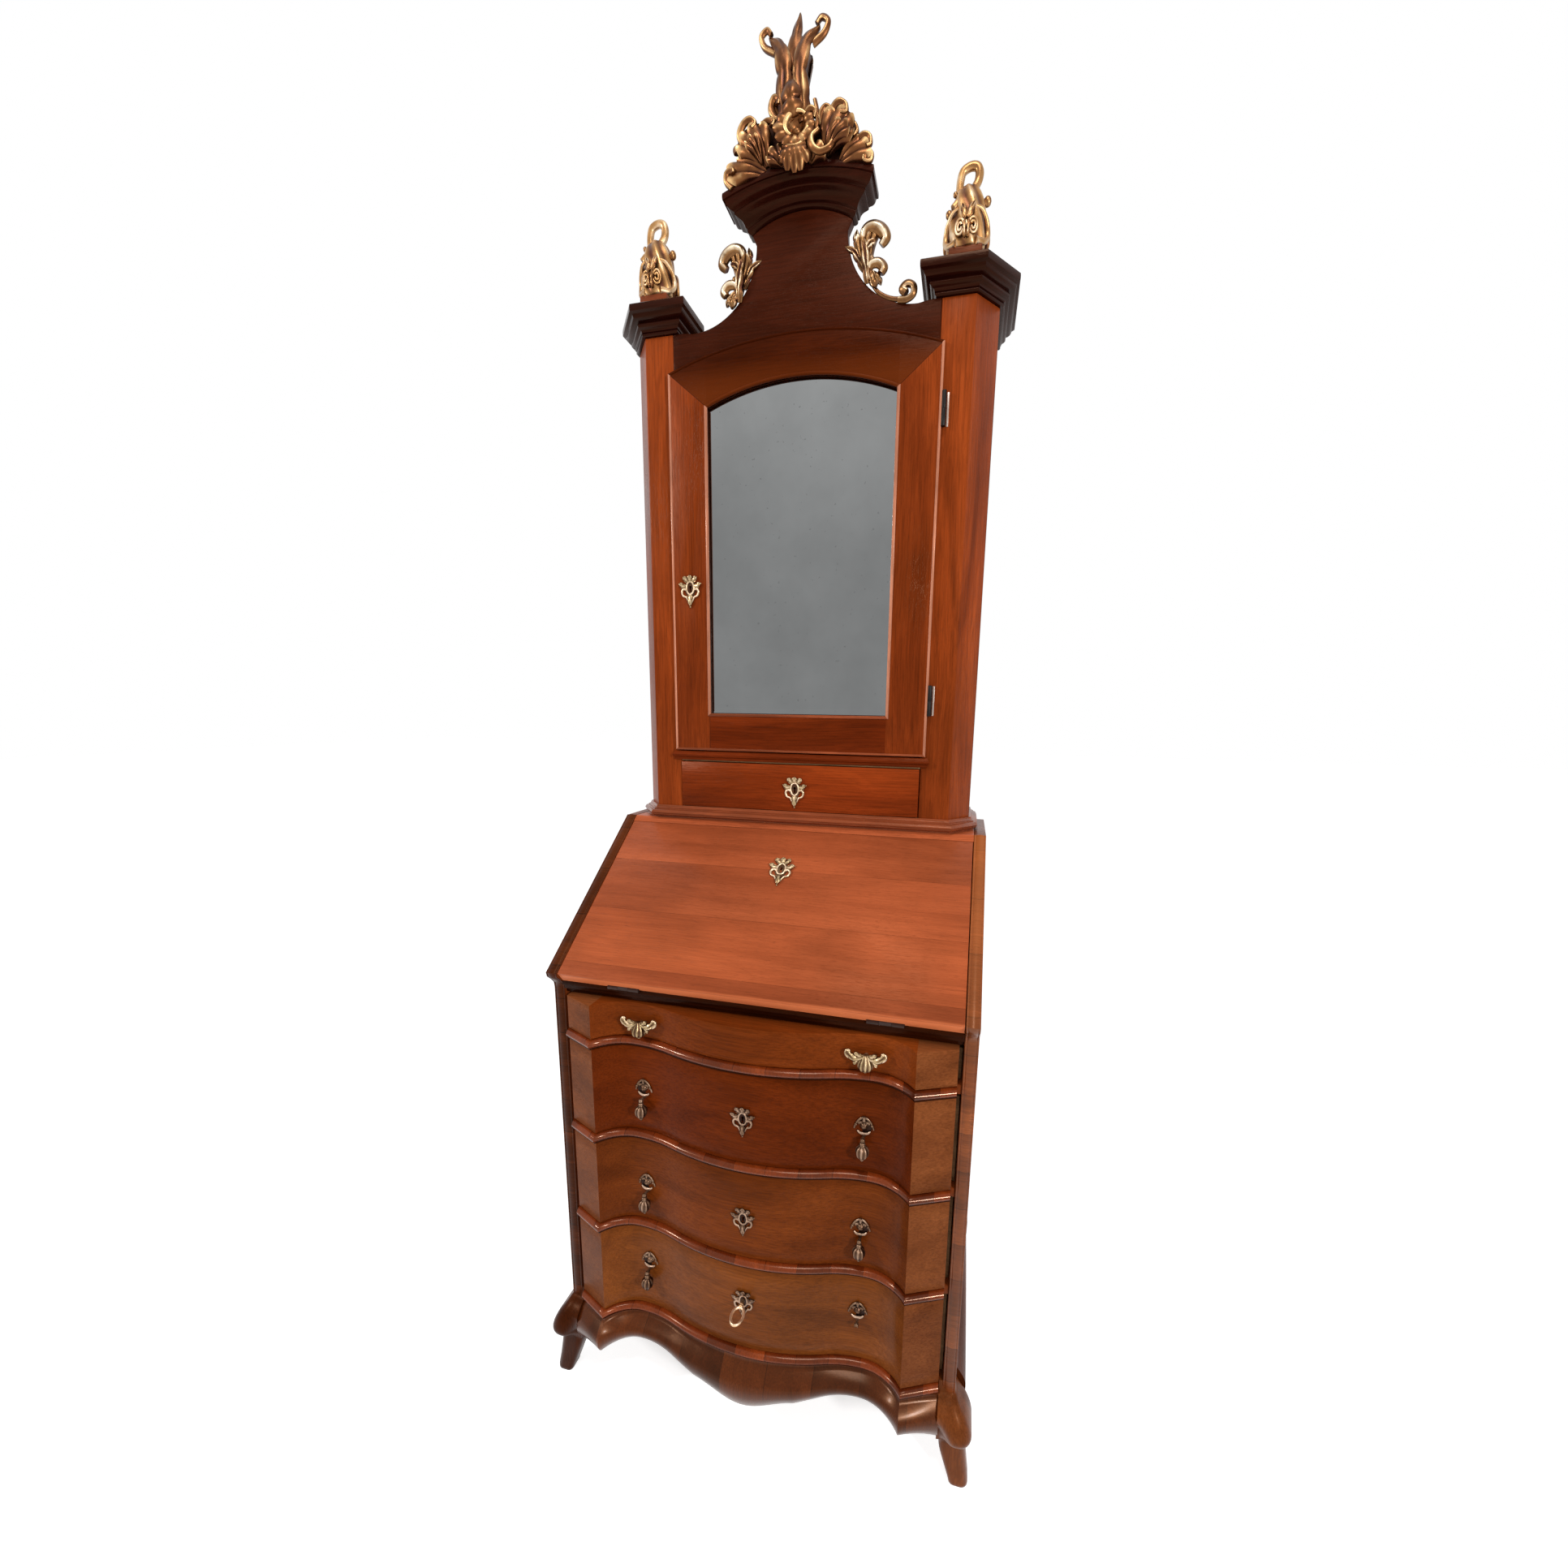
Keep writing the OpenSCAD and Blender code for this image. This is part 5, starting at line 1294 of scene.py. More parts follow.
def door_frame():
    """The door's frame, its joints marked by thin dark lines: mitres at its head, butt joints at its foot."""
    seam, inside = 0.35, 0.34
    piece = board_copy("door_frame", 0.0006)
    only(piece)
    bpy.ops.object.mode_set(mode="EDIT")
    for side in (-1, 1):
        run = Vector((side * (DOOR_HALF - SIGHT_HALF), 0, DOOR_SHOULDER - SIGHT_TOP))
        flat = Vector((run.z, 0, -run.x)).normalized()
        corner = at(side * SIGHT_HALF, 300, SIGHT_TOP)
        cuts = [(corner + flat * shift / 1000, flat) for shift in (-seam, seam)]
        cuts += [(at(side * (SIGHT_HALF + shift), 300, SIGHT_Z), (1, 0, 0)) for shift in (-seam, seam)]
        for spot, normal in cuts:
            bpy.ops.mesh.select_all(action="SELECT")
            bpy.ops.mesh.bisect(plane_co=spot, plane_no=normal)
    bpy.ops.object.mode_set(mode="OBJECT")
    lean = math.atan2(DOOR_SHOULDER - SIGHT_TOP, DOOR_HALF - SIGHT_HALF)

    # Index 3, the head above the sight, takes the darker head walnut as painted shade
    def part(x, z):
        out = abs(x) - SIGHT_HALF
        if z < SIGHT_Z:
            return 2 if abs(out) < inside else 0 if out > 0 else 1
        over = (z - SIGHT_TOP) * math.cos(lean) - out * math.sin(lean)
        return 2 if abs(over) < inside and out > 0 else 0 if over < 0 else 3

    painted(piece, ("stile", "rail", "dark", "head"), part)
    return piece


def half_round(line, radius, y):
    """A half-round lip on a closed line in the door's front."""
    sunk = 2
    rings = []
    n = len(line)
    for i in range(n + 1):
        here, before, after = (Vector(line[k % n]) for k in (i, i - 1, i + 1))
        a, b = (here - before).normalized(), (after - here).normalized()
        turn = (a + b).normalized()
        wide = min(1 / max(turn.dot(b), 0.5), 1.6)
        out = Vector((turn[1], -turn[0]))
        ring = []
        for k in range(9):
            q = math.pi * k / 8
            s = out * (radius * math.cos(q) * wide)
            ring.append((here[0] + s[0], y - radius * 0.85 * math.sin(q), here[1] + s[1]))
        rings.append(ring + [(ring[k][0], y + sunk, ring[k][2]) for k in (-1, 0)])
    return lofted("lip", rings)


class DESK_OT_door(Piece, bpy.types.Operator):
    """Door frame mitred at its head, with half-round lips, its backboard, its hinges and its lock"""
    bl_idname = "desk.door"
    bl_label = "Door"

    def execute(self, context):
        settled(door_frame(), "door", "walnut", None, "door_frame")
        r = sizes().lip * 1000
        lips = []
        for half, foot, shoulder, rise, radius in (
                (SIGHT_HALF + 1, SIGHT_Z - 1, SIGHT_TOP + 0.5, SIGHT_RISE + 0.5, r),
                (DOOR_HALF - 1.4, DOOR_Z + 1.4, DOOR_SHOULDER - 1.4, DOOR_RISE, r * 0.8)):
            line = [(-half, foot), (half, foot)] + arch(half, shoulder, rise, 28)[::-1]
            lips.append(half_round(line, radius, DOOR_FRONT + 0.6))
        lip_piece = joined("door_lips", lips)

        # Upright lips take the pale finish as painted highlight; lips round the arches take the head's dark walnut
        # as painted shade
        def part(x, z):
            x = abs(x)
            if z > DOOR_SHOULDER - 2 or (z > SIGHT_TOP + 0.5 and x < SIGHT_HALF + 5):
                return 2
            return 1 if z > SIGHT_Z and x > SIGHT_HALF - 3 else 0

        painted(lip_piece, ("moulding", "lip", "head"), part)
        settled(lip_piece, "door", "walnut", None, angle=50)
        (x0, _, z0), (_, _, z1) = cad("door_pintles")
        # Hinge leaves in a pale metal as painted highlight
        leaves = [eased(board("hinge_leaf", x0 + 8.7, x0 + 12.4, low, low + 54, CAB_SET - 1.0, CAB_SET + 1.0),
                        0.0004) for low in (z0 + 1, z1 - 51)]
        settled(joined("hinge_leaves", leaves), "case", "iron", "hinge_plate")
        standing_for("mirror_back", "lining_wood", "lining")
        lock_x = -(SIGHT_HALF + DOOR_HALF) / 2
        lock_z = DOOR_Z + 0.455 * (DOOR_SHOULDER - DOOR_Z)
        made = key_plate_pieces(lock_x, DOOR_FRONT + 0.1, lock_z, 1.25)
        made.append(lock_case(lock_x, lock_z, 24, 34, CAB_SET + 14, CAB_SET + 24))
        settled(joined("door_key_plate", made), "door", "brass", "pale", "door_lock", angle=60)
        standing_for("door_pintles door_straps", "iron", "iron", 0.0005)
        return {"FINISHED"}


class DESK_OT_mirror(Piece, bpy.types.Operator):
    """Mirror plate with a ground bevel"""
    bl_idname = "desk.mirror"
    bl_label = "Mirror"

    def execute(self, context):
        (_, y0, z0), (x1, y1, _) = cad("mirror_plate")
        w = sizes().mirror_bevel * 1000
        rings = []
        for inset, y in ((0, y1), (0, y0 + 1.2), (7.0, y0 + 1.1), (7.0 + w, y0 + 0.3), (7.6 + w, y0 + 0.3)):
            half = x1 - inset
            line = arch(half, SIGHT_TOP + 3.5 - inset * 0.9, SIGHT_RISE + 3 - inset * 0.3)
            line += [(half, z0 + inset), (-half, z0 + inset)]
            rings.append([(x, y, z) for x, z in line])
        settled(lofted("mirror_glass", rings), "door", "mirror", "mirror", "mirror_plate", angle=1)
        return {"FINISHED"}


# --- Top ---

SWEEP_R, PED_FOOT, PED_T = 124, 40, 18
DIP_X, DIP_Z = HOLE_HALF - PED_FOOT, POST_TOP - 3
NECK_HALF = DIP_X - SWEEP_R
CAP_SEAT = NECK_HALF + 8
CAP_Z, CAP_RISE, CAP_OUT, CAP_TALL = DIP_Z + SWEEP_R + 16, 26, 40, 44


class DESK_OT_pediment(Piece, bpy.types.Operator):
    """Pediment board with arched underside and swept sides"""
    bl_idname = "desk.pediment"
    bl_label = "Pediment"

    def execute(self, context):
        under = arch(HOLE_HALF, DOOR_SHOULDER - 8, DOOR_RISE, 36)
        sweep_z = DIP_Z + SWEEP_R
        right = [(HOLE_HALF, POST_TOP), (DIP_X + PED_FOOT / 2, POST_TOP)]
        for i in range(31):
            a = math.radians(90 + 90 * i / 30)
            right.append((DIP_X + SWEEP_R * math.cos(a), sweep_z - SWEEP_R * math.sin(a)))
        right.append((CAP_SEAT, CAP_Z))
        top = arch(CAP_SEAT, CAP_Z, CAP_RISE, 24)
        line = under + right + top[::-1][1:-1] + mirrored(right)
        piece = eased(plate("pediment_board", line, CAB_SET, CAB_SET + PED_T), 0.0018, 3)
        settled(piece, "case", "dark_wood", "pediment", "pediment")
        return {"FINISHED"}


class DESK_OT_cap(Piece, bpy.types.Operator):
    """Arched cap of stepped mouldings over the pediment"""
    bl_idname = "desk.cap"
    bl_label = "Pediment cap"

    def execute(self, context):
        profile = moulded((0, 0), (4, 1), (6, 7, 1.2), (9, 8), (20, 19, -2.6), (22, 20), (24, 24, 1.2), (27, 25),
                          (36, 33, 2.4), (37, 34.5), (CAP_OUT, 34.5), (CAP_OUT, CAP_TALL, 0.5))
        rings = []
        n = 40
        for k in range(n + 5):
            at_back = k in (0, n + 4)
            ring = []
            for p, h in profile:
                half = CAP_SEAT + p
                rise = CAP_RISE - 3 * h / CAP_TALL
                r = (half * half + rise * rise) / (2 * rise)
                x = -half + 2 * half * min(max(k - 2, 0), n) / n
                ring.append((x, CAB_SET + PED_T if at_back else CAB_SET - p, CAP_Z + h + rise - dip(r, x)))
            x, _, z = ring[-1]
            ring.append((x * 0.9, CAB_SET + PED_T, z if at_back else z + 0.1))
            ring.append((ring[0][0], CAB_SET + PED_T, ring[0][2]))
            rings.append(ring)
        settled(lofted("cap_moulding", rings), "case", "dark_wood", "dark", "pediment_cap", angle=33)
        return {"FINISHED"}


class DESK_OT_capitals(Piece, bpy.types.Operator):
    """Moulded capitals on the canted posts, returned along the cabinet's sides"""
    bl_idname = "desk.capitals"
    bl_label = "Capitals"

    def execute(self, context):
        (_, _, z0), (_, _, z1) = cad("capitals")
        profile = moulded((0, 0), (4, 0), (5, 5.5, 1.6), (7, 6), (11, 11, -1.0), (12.5, 12), (13, 19, 2.0),
                          (15, 20), (25, 29, 2.4), (27, 30), (30, 31.5), (30, 42.5, 0.4), (28.5, z1 - z0))
        inner, core_y = HOLE_HALF - 6, CANT_Y + 12

        def outline(p):
            return [(inner - p, core_y), (inner - p, CAB_SET - p), (CAB_HALF + p * LEAN, CAB_SET - p),
                    (CAB_SIDE + p, CANT_Y - p * QUARTER), (CAB_SIDE + p, CASE_D)]

        cores = [(inner + 8, core_y)] * 3 + [(CAB_SIDE - 18, core_y), (CAB_SIDE - 18, CASE_D)]
        made = []
        for side in (-1, 1):
            rings = []
            for k, (cx, cy) in enumerate(cores):
                ring = []
                for p, h in profile:
                    x, y = outline(p)[k]
                    ring.append((side * x, y, z0 + h))
                rings.append(ring + [(side * cx, cy, z1), (side * cx, cy, z0)])
            made.append(lofted("capital", rings))
        settled(joined("capital_mouldings", made), "case", "dark_wood", "dark", "capitals", angle=33)
        return {"FINISHED"}


class Carver:
    """Gathers the pieces of a carving; place turns a leaf's or a scroll's own numbers into a point."""

    def __init__(self, place):
        self.place = place
        self.made = []

    def line(self, points):
        return [self.place(*p) for p in points]

    def leaf(self, points, *args, **more):
        self.made.append(leaf("leaf", self.line(points), *args, **more))

    def rod(self, points, *args, **more):
        self.made.append(ribbon("rod", self.line(points), *args, **more))

    def fan(self, root, *args, **more):
        self.made.append(fan("fan", self.place(*root), *args, **more))

    def turned(self, profile, spot, *args):
        self.made.append(turned("turned", profile, self.place(*spot), *args))


class DESK_OT_finials(Piece, bpy.types.Operator):
    """Carved gilt finials: footed vases with facing scrolls and a pierced loop"""
    bl_idname = "desk.finials"
    bl_label = "Finials"

    def execute(self, context):
        (_, _, z0), (_, _, z1) = cad("finials")
        fx, fy = CAB_HALF - 22.5, CAB_SET + 18
        tall = z1 - z0
        r = tall / 5
        body = [(0.84, 0.13), (0.96, 0.15), (1.03, 0.2), (1.04, 0.27), (1.02, 0.35), (0.97, 0.43), (0.92, 0.51),
                (0.86, 0.58), (0.76, 0.64), (0.62, 0.69), (0.44, 0.73)]
        vase = [(v[0] * r, v[1] * tall) for v in through([(a, b, 0) for a, b in body], 44)]

        def girth(h):
            for (ra, ha), (rb, hb) in zip(vase, vase[1:]):
                if h * tall <= hb:
                    return ra + (rb - ra) * max(0, (h * tall - ha)) / (hb - ha)
            return vase[-1][0]

        made, plinths = [], []
        for side in (-1, 1):
            x = side * fx

            def on_vase(turn, h, lift=0.0):
                q = girth(h) + lift
                a = math.radians(turn)
                return (x + q * math.sin(a), fy - q * math.cos(a), z0 + h * tall)

            carver = Carver(on_vase)
            q = 0.84 * r
            foot = [(x - q, fy - q), (x + q, fy - q), (x + q, fy + q), (x - q, fy + q)]
            rings = [[(px, py, z) for px, py in foot] for z in (z0, z0 + 22)]
            plinths.append(eased(lofted("plinth", rings), 0.0018, 3))
            closed = [(0, vase[0][1])] + vase + [(0, vase[-1][1] + 1)]
            made.append(turned("vase", closed, (x, fy, z0), 112, "Z", 7, 0.12, 0.014))
            for about in (0, 180):
                face = (math.sin(math.radians(about)), -math.cos(math.radians(about)), 0)
                for hand in (-1, 1):
                    for size in (1, 0.48):
                        turns = [0.3 + 2 * math.pi * k / 20 for k in range(19)]
                        eye = [(about + hand * (19 - 12 * size * math.cos(a)), 0.29 + 0.07 * size * math.sin(a),
                                0.2) for a in turns]
                        carver.rod(eye, r * 0.07, 48, 10, facing=face, tone=0.42)
                    hook = ((30, 0.48, -1), (50, 0.46, 0.4), (70, 0.39, 1.0), (80, 0.31, 1.0), (76, 0.23, 0.6),
                            (56, 0.175, 0.2), (30, 0.165, 0))
                    carver.rod([(about + hand * a, h, lift) for a, h, lift in hook],
                               lambda t: r * (0.08 + (0.19 - 0.08) * t), 48, facing=face, grooves=2, tone=0.75)
                    stalk = ((4, 0.18, 0.2), (5, 0.25, 0.8), (6, 0.36, 0.8))
                    carver.leaf([(about + hand * a, h, lift) for a, h, lift in stalk], 0.11 * r, 2, facing=face,
                                flutes=1, steps=(20, 10))
                for width, tuft in ((0.17, ((-4, 0.35, 0), (-8, 0.42, 0.8), (-16, 0.49, 0.6))),
                                    (0.19, ((4, 0.35, 0), (10, 0.42, 1.2), (22, 0.5, 1)))):
                    carver.leaf([(about + a, h, lift) for a, h, lift in tuft], width * r, 2, facing=face, flutes=1,
                                steps=(20, 12), thick=3)
            for turn, h, size, lift in ((-88, 0.53, 5.6, 1.5), (-62, 0.66, 3.8, 1), (84, 0.585, 6.4, 3.5)):
                ball = [(size * math.cos(a), size * 1.25 * math.sin(a))
                        for a in (math.pi * (k / 12 - 0.5) for k in range(13))]
                carver.turned(ball, (turn, h, lift), 18, "Z", 5, 0.1, 0.09)
            made += carver.made
            loop = [(-0.3, 0.64), (-0.33, 0.72), (-0.31, 0.81), (-0.19, 0.89), (0.16, 0.925), (0.48, 0.915),
                    (0.62, 0.86), (0.56, 0.78), (0.34, 0.705), (0.04, 0.64), (-0.28, 0.58), (-0.58, 0.51)]
            loop = [(x + (px - 0.13) * r, fy - 2 - 3.4 * max(0, k - 7) - (4 if k > 8 else 0), z0 + pz * tall)
                    for k, (px, pz) in enumerate(loop)]
            made.append(ribbon("loop", loop, lambda t: r * (0.175 + 0.04 * math.sin(math.pi * t)), 80, 14, 1.1, 2,
                               tone=0.75))
            back_leaf = [(x + px * r, fy + out * r, z0 + pz * tall)
                         for px, pz, out in ((-0.2, 0.58, 0.6), (0, 0.66, 0.5), (0.1, 0.75, 0.3))]
            made.append(leaf("back_leaf", back_leaf, 0.34 * r, 3, 0.3, 1, 3.5, 0.2, (20, 12), facing=(0, 1, 0)))
        settled(joined("carved_finials", made), "case", "gilt_wood", "gilt", "finials", angle=60)
        settled(joined("finial_plinths", plinths), "case", "gilt_wood", "bole")
        return {"FINISHED"}


class DESK_OT_crest(Piece, bpy.types.Operator):
    """Carved gilt crest: spreading leaves round a hollow shell, with a plume above"""
    bl_idname = "desk.crest"
    bl_label = "Crest"

    def execute(self, context):
        y = CAB_SET - CAP_OUT + 12
        z = CAP_Z + CAP_TALL
        carver = Carver(lambda px, pz, out=0.0: (px, y - out, z + pz))

        def roll(thick, thin, *points):
            carver.rod(points, (thick, thin), 34, 14, grooves=3)

        # Spreading fans and the rolls that curl off them, on the left and then on the right
        carver.fan((-44, 20), (68, 80, 44), 193, 138, 3, out=(6, 20, 12))
        carver.fan((-48, 24), (58, 78, 66), 152, 80, 4, out=(8, 26, 18), sweep=4, roll=8)
        carver.fan((-56, 26), (40, 52, 44), 128, 84, 3, out=(20, 30, 25), sweep=8, thick=4)
        roll(6.5, 5, (-88, 62, 14), (-95, 80, 20), (-88, 96, 22), (-76, 101, 22), (-68, 94, 22), (-74, 86, 24))
        roll(6, 5, (-82, 56, 12), (-94, 66, 16), (-104, 66, 14), (-102, 57, 16))
        roll(6, 4.5, (-112, 4, 12), (-121, 14, 14), (-120, 27, 16), (-110, 30, 18), (-107, 22, 20))
        roll(5.5, 4.5, (-60, 88, 18), (-48, 95, 20), (-36, 91, 22), (-38, 82, 24))
        carver.fan((46, 26), (66, 76, 52), 96, 14, 4, out=(8, 26, 18), sweep=-4, roll=8)
        carver.fan((54, 28), (42, 52, 40), 84, 24, 3, out=(20, 30, 25), sweep=-8, thick=4)
        roll(5.5, 4.5, (44, 74, 16), (43, 88, 20), (50, 98, 20), (58, 94, 20), (55, 86, 22))
        roll(6.5, 5, (62, 82, 16), (64, 94, 20), (73, 99, 22), (83, 93, 22), (84, 82, 22), (76, 82, 24))
        roll(5.5, 4.5, (88, 68, 14), (97, 64, 18), (102, 52, 18), (96, 44, 20))
        carver.fan((66, 12), (44, 62, 62), 56, -7, 3, out=(8, 20, 14))
        roll(5.5, 4.5, (100, 40, 12), (112, 46, 16), (122, 42, 16), (124, 30, 16), (118, 26, 18))
        roll(5.5, 4.5, (118, 22, 12), (126, 15, 14), (124, 5, 14), (116, 6, 16), (116, 12, 18))
        roll(7.5, 5, (38, 62, 22), (29, 50, 26), (32, 34, 27), (44, 25, 26), (58, 28, 26), (64, 38, 24))
        carver.fan((-20, 20), (28, 40, 32), 168, 84, 3, out=(16, 24, 18), roll=4)
        carver.fan((24, 16), (30, 38, 30), 104, 8, 3, out=(16, 24, 18), roll=4)

        # The rosette: a ring of leaves, a rim in two lengths, a hollow and a pearl
        for a, far in ((126, 34), (150, 37), (176, 40), (204, 39), (232, 36), (262, 33), (292, 32), (322, 33),
                       (350, 30), (20, 28)):
            ca, sa = math.cos(math.radians(a)), math.sin(math.radians(a))
            spine = [(5 + q * ca, 74 + q * sa, out) for q, out in ((15, 20), (0.72 * far, 24), (far, 24))]
            carver.leaf(spine, 11.5, 1, flutes=1, steps=(18, 12), bulge=0.3, tip=0.6, groove=0.5)
        # The rim's long length over the top and left is toned lighter than its lower right length: painted
        # highlight
        for q, mid_z, out, turns, low, more, steps, tone in ((19, 75, 29, range(40, 256, 20), 1.8, 2.8, 40, 1.1),
                                                             (20, 74, 27, range(-90, 21, 18), 1.6, 2.4, 30, 0.9)):
            rim = [(5 + q * math.cos(math.radians(a)), mid_z + q * math.sin(math.radians(a)), out) for a in turns]
            carver.rod(rim, swelling(low, more), steps, tone=tone)
        carver.turned([(0, 7), (6, 5), (12, -1), (15.5, -7), (17.5, -5), (17.5, 6), (0, 12)], (5, 75, 20), 40, "Y")
        carver.turned([(0, -7), (5, -5.4), (7.5, -1), (6, 3), (0, 5)], (3, 70, 17), 24, "Y")
        roll(5, 5.5, (-18, 48, 22), (-8, 41, 26), (6, 40, 26), (18, 46, 24))
        for px, low, w in ((-23, 24, 8), (-11, 8, 9), (1, 2, 8), (11, 4, 9), (22, 16, 8)):
            carver.leaf([(px * 0.35, 42, 22), (px * 0.75, 28, 27), (px, low, 20)], w * 1.2, 2, flutes=1,
                        steps=(22, 12), tip=0.5, groove=0.5)

        # The plume
        plume = dict(flutes=1, bulge=0.4, notch=0.25, groove=0.6)
        left_plume = [(-10, 84, 16), (-17, 112, 20), (-17, 148, 22), (-26, 182, 18), (-46, 204, 8)]
        right_plume = [(16, 84, 16), (13, 112, 20), (8, 146, 22), (16, 184, 16), (36, 206, 6)]
        carver.leaf(left_plume, 15, base=0.8, **plume)
        carver.leaf(right_plume, 14, base=0.8, **plume)
        carver.leaf([(0, 112, 6), (-4, 146, 12), (-2, 188, 12), (4, 228, 4)], 14, **plume)
        carver.leaf([(0, 90, 20), (-4, 108, 28), (-5, 132, 24)], 18, 2, flutes=1, bulge=0.5, steps=(26, 18),
                    tip=0.6, base=0.7, groove=0.3)
        roll(4.5, 3, (8, 96, 24), (6, 118, 27), (0, 144, 26), (2, 168, 22))
        roll(6.5, 5, (-20, 92, 18), (-34, 98, 20), (-41, 110, 20), (-36, 122, 20), (-27, 119, 22), (-28, 110, 24))
        carver.turned([(0, -8), (6, -6), (10, 0), (8, 6), (0, 8)], (-32, 111, 12), 20, "Y", 5, 0.1)
        roll(5.5, 4.5, (16, 88, 22), (26, 96, 25), (34, 92, 24), (32, 84, 22))
        roll(4.5, 3.5, (34, 70, 18), (38, 84, 20), (36, 98, 20), (32, 112, 18))
        roll(5.5, 4, (-36, 184, 12), (-54, 194, 12), (-60, 207, 12), (-50, 214, 12), (-42, 206, 14))
        roll(5.5, 4, (26, 186, 10), (44, 196, 10), (50, 209, 10), (40, 216, 10), (32, 208, 12))

        # The blocks that carry the leaves, cut to the cap's curve below, and plain fans behind
        core = [(-108, 8), (-100, 28), (-84, 40), (-84, 78), (-68, 92), (-58, 104), (-40, 108), (-22, 112),
                (-22, 150), (-28, 180), (-10, 198), (2, 210), (12, 196), (20, 182), (12, 150), (16, 108), (36, 86),
                (72, 88), (86, 60), (92, 38), (112, 28), (116, 6)]
        core += [(a, b + 4) for a, b in arch(116, -2, 18, 20)[::-1]]
        stem = [(-12, 70), (-16, 110), (-15, 150), (-20, 180), (-5, 196), (3, 204), (9, 190), (10, 150), (12, 110),
                (14, 70)]
        made = carver.made
        for outline, y0, y1, width in ((core, y - 7, y + 20, 0.003), (stem, y - 14, y + 16, 0.004)):
            made.append(eased(plate("core", [(a, z + b) for a, b in outline], y0, y1), width, 3))
        for px, pz, reach, start, end in ((-46, 26, 70, 186, 84), (48, 26, 68, 94, 2), (0, 90, 108, 106, 76)):
            made.append(fan("rear_fan", (px, y + 12, z + pz), (reach * 0.9, reach, reach * 0.9), start, end, 5,
                            out=(0, 4, 2), roll=0, hand=-1))
        crest = joined("carved_crest", made)

        # The body is squeezed a little and the plume stretched
        body, squeeze, stretch = 100, 0.87, 141 / 128
        for v in crest.data.vertices:
            rise = v.co.z * 1000 - z
            if rise > 0:
                over = max(0, rise - body)
                v.co.z = (z + squeeze * min(rise, body) + over * stretch) / 1000
        settled(crest, "case", "gilt_wood", "crest_gilt", "crest", angle=60)
        return {"FINISHED"}


class DESK_OT_scrolls(Piece, bpy.types.Operator):
    """Carved gilt leaf scrolls on the pediment's sweeps"""
    bl_idname = "desk.scrolls"
    bl_label = "Pediment scrolls"

    def execute(self, context):
        y, left_shift = CAB_SET + 6, 5
        made = []
        for side in (-1, 1):
            shift = left_shift if side < 0 else 0
            carver = Carver(lambda px, pz, out=0.0: (side * (DIP_X + px) + shift, y - out, DIP_Z + pz))

            def lay(width, lobes, *points, flutes=1, **more):
                carver.leaf(points, width, lobes, flutes=flutes, **more)

            def roll(low, more, *points):
                carver.rod(points, swelling(low, more), 36, 16, grooves=4, tone=0.65)

            carver.fan((-85, 46, 2), (64, 74, 70), 90 + side * 30, 90 - side * 8, 4, out=(4, 13, 10),
                       sweep=-side * 6, roll=4, thick=4)
            lay(9, 3, (-86, 40, 4), (-88, 60, 12), (-92, 84, 14), (-96, 104, 12), bulge=0.45, base=0.8)
            roll(6.5, 4.5, (-98, 102, 8), (-92, 115, 12), (-79, 118, 13), (-65, 111, 13), (-58, 99, 12),
                 (-65, 90, 11))
            lay(8, 3, (-92, 80, 8), (-84, 92, 13), (-74, 96, 13))
            lay(7, 2, (-102, 90, 6), (-108, 104, 9), (-107, 119, 7))
            lay(7, 3, (-96, 60, 2), (-103, 76, 4), (-112, 90, 5), (-128, 100, 3))
            carver.turned([(0, -4), (3.4, -3), (5, 0), (4, 2), (0, 3)], (-81, 72, 14), 18, "Y")
            roll(6.5, 2, (-88, 50, 8), (-82, 63, 12), (-69, 64, 13), (-60, 56, 12), (-64, 48, 12))
            lay(10, 2, (-82, 54, 8), (-77, 42, 10), (-73, 30, 5), flutes=2, steps=(22, 14))
            lay(6, 2, (-76, 52, 8), (-68, 42, 9), (-64, 34, 5), steps=(20, 12))
            if side > 0:
                carver.rod([(-78, 36, 4), (-68, 24, 5), (-52, 14.5, 5), (-36, 10, 5), (-22, 11, 5)],
                           (3.2, 4.4), 50, grooves=2, tone=0.3)
                carver.rod([(-34, 8, 6), (-20, 6, 8), (-9, 12, 9), (-9, 24, 9), (-19, 29, 9), (-27, 22, 9),
                            (-20, 15, 10)], (5.5, 7), 40, 14, grooves=3)
            made += carver.made
        settled(joined("carved_scrolls", made), "case", "gilt_wood", "scroll_gilt", "pediment_scrolls", angle=60)
        return {"FINISHED"}


class DESK_OT_lid_lock(Piece, bpy.types.Operator):
    """Key plate on the lid and its lock case"""
    bl_idname = "desk.lid_lock"
    bl_label = "Lid lock"

    def execute(self, context):
        hinge_y = LID_T * math.sin(LID_SLOPE)
        along = LID_LONG - 96

        def on_lid(x, up, out):
            """A point so far up the lid's slope from its hinge and so far out of its inner face."""
            return (x, hinge_y + up * math.cos(LID_SLOPE) - out * math.sin(LID_SLOPE),
                    BED_TOP + up * math.sin(LID_SLOPE) + out * math.cos(LID_SLOPE))

        plate_piece = joined("lid_key_plate", key_plate_pieces(0, 0, 0, 1.35))
        for v in plate_piece.data.vertices:
            x, y, z = v.co.x * 1000, (v.co.y - NOSE_Y) * 1000, v.co.z * 1000
            v.co = at(*on_lid(x, along + z, LID_T - y))
        low, high, half = along - 18, 360, 36
        rings = [[on_lid(x, up, out) for x, up in ((-half, low), (half, low), (half, high), (-half, high))]
                 for out in (-12, 0)]
        case = eased(lofted("lid_lock_case", rings), 0.0006)
        settled(joined("lid_key_plate", [plate_piece, case]), "lid", "brass", "pale", "lid_lock", angle=60)
        return {"FINISHED"}


# --- Stage ---

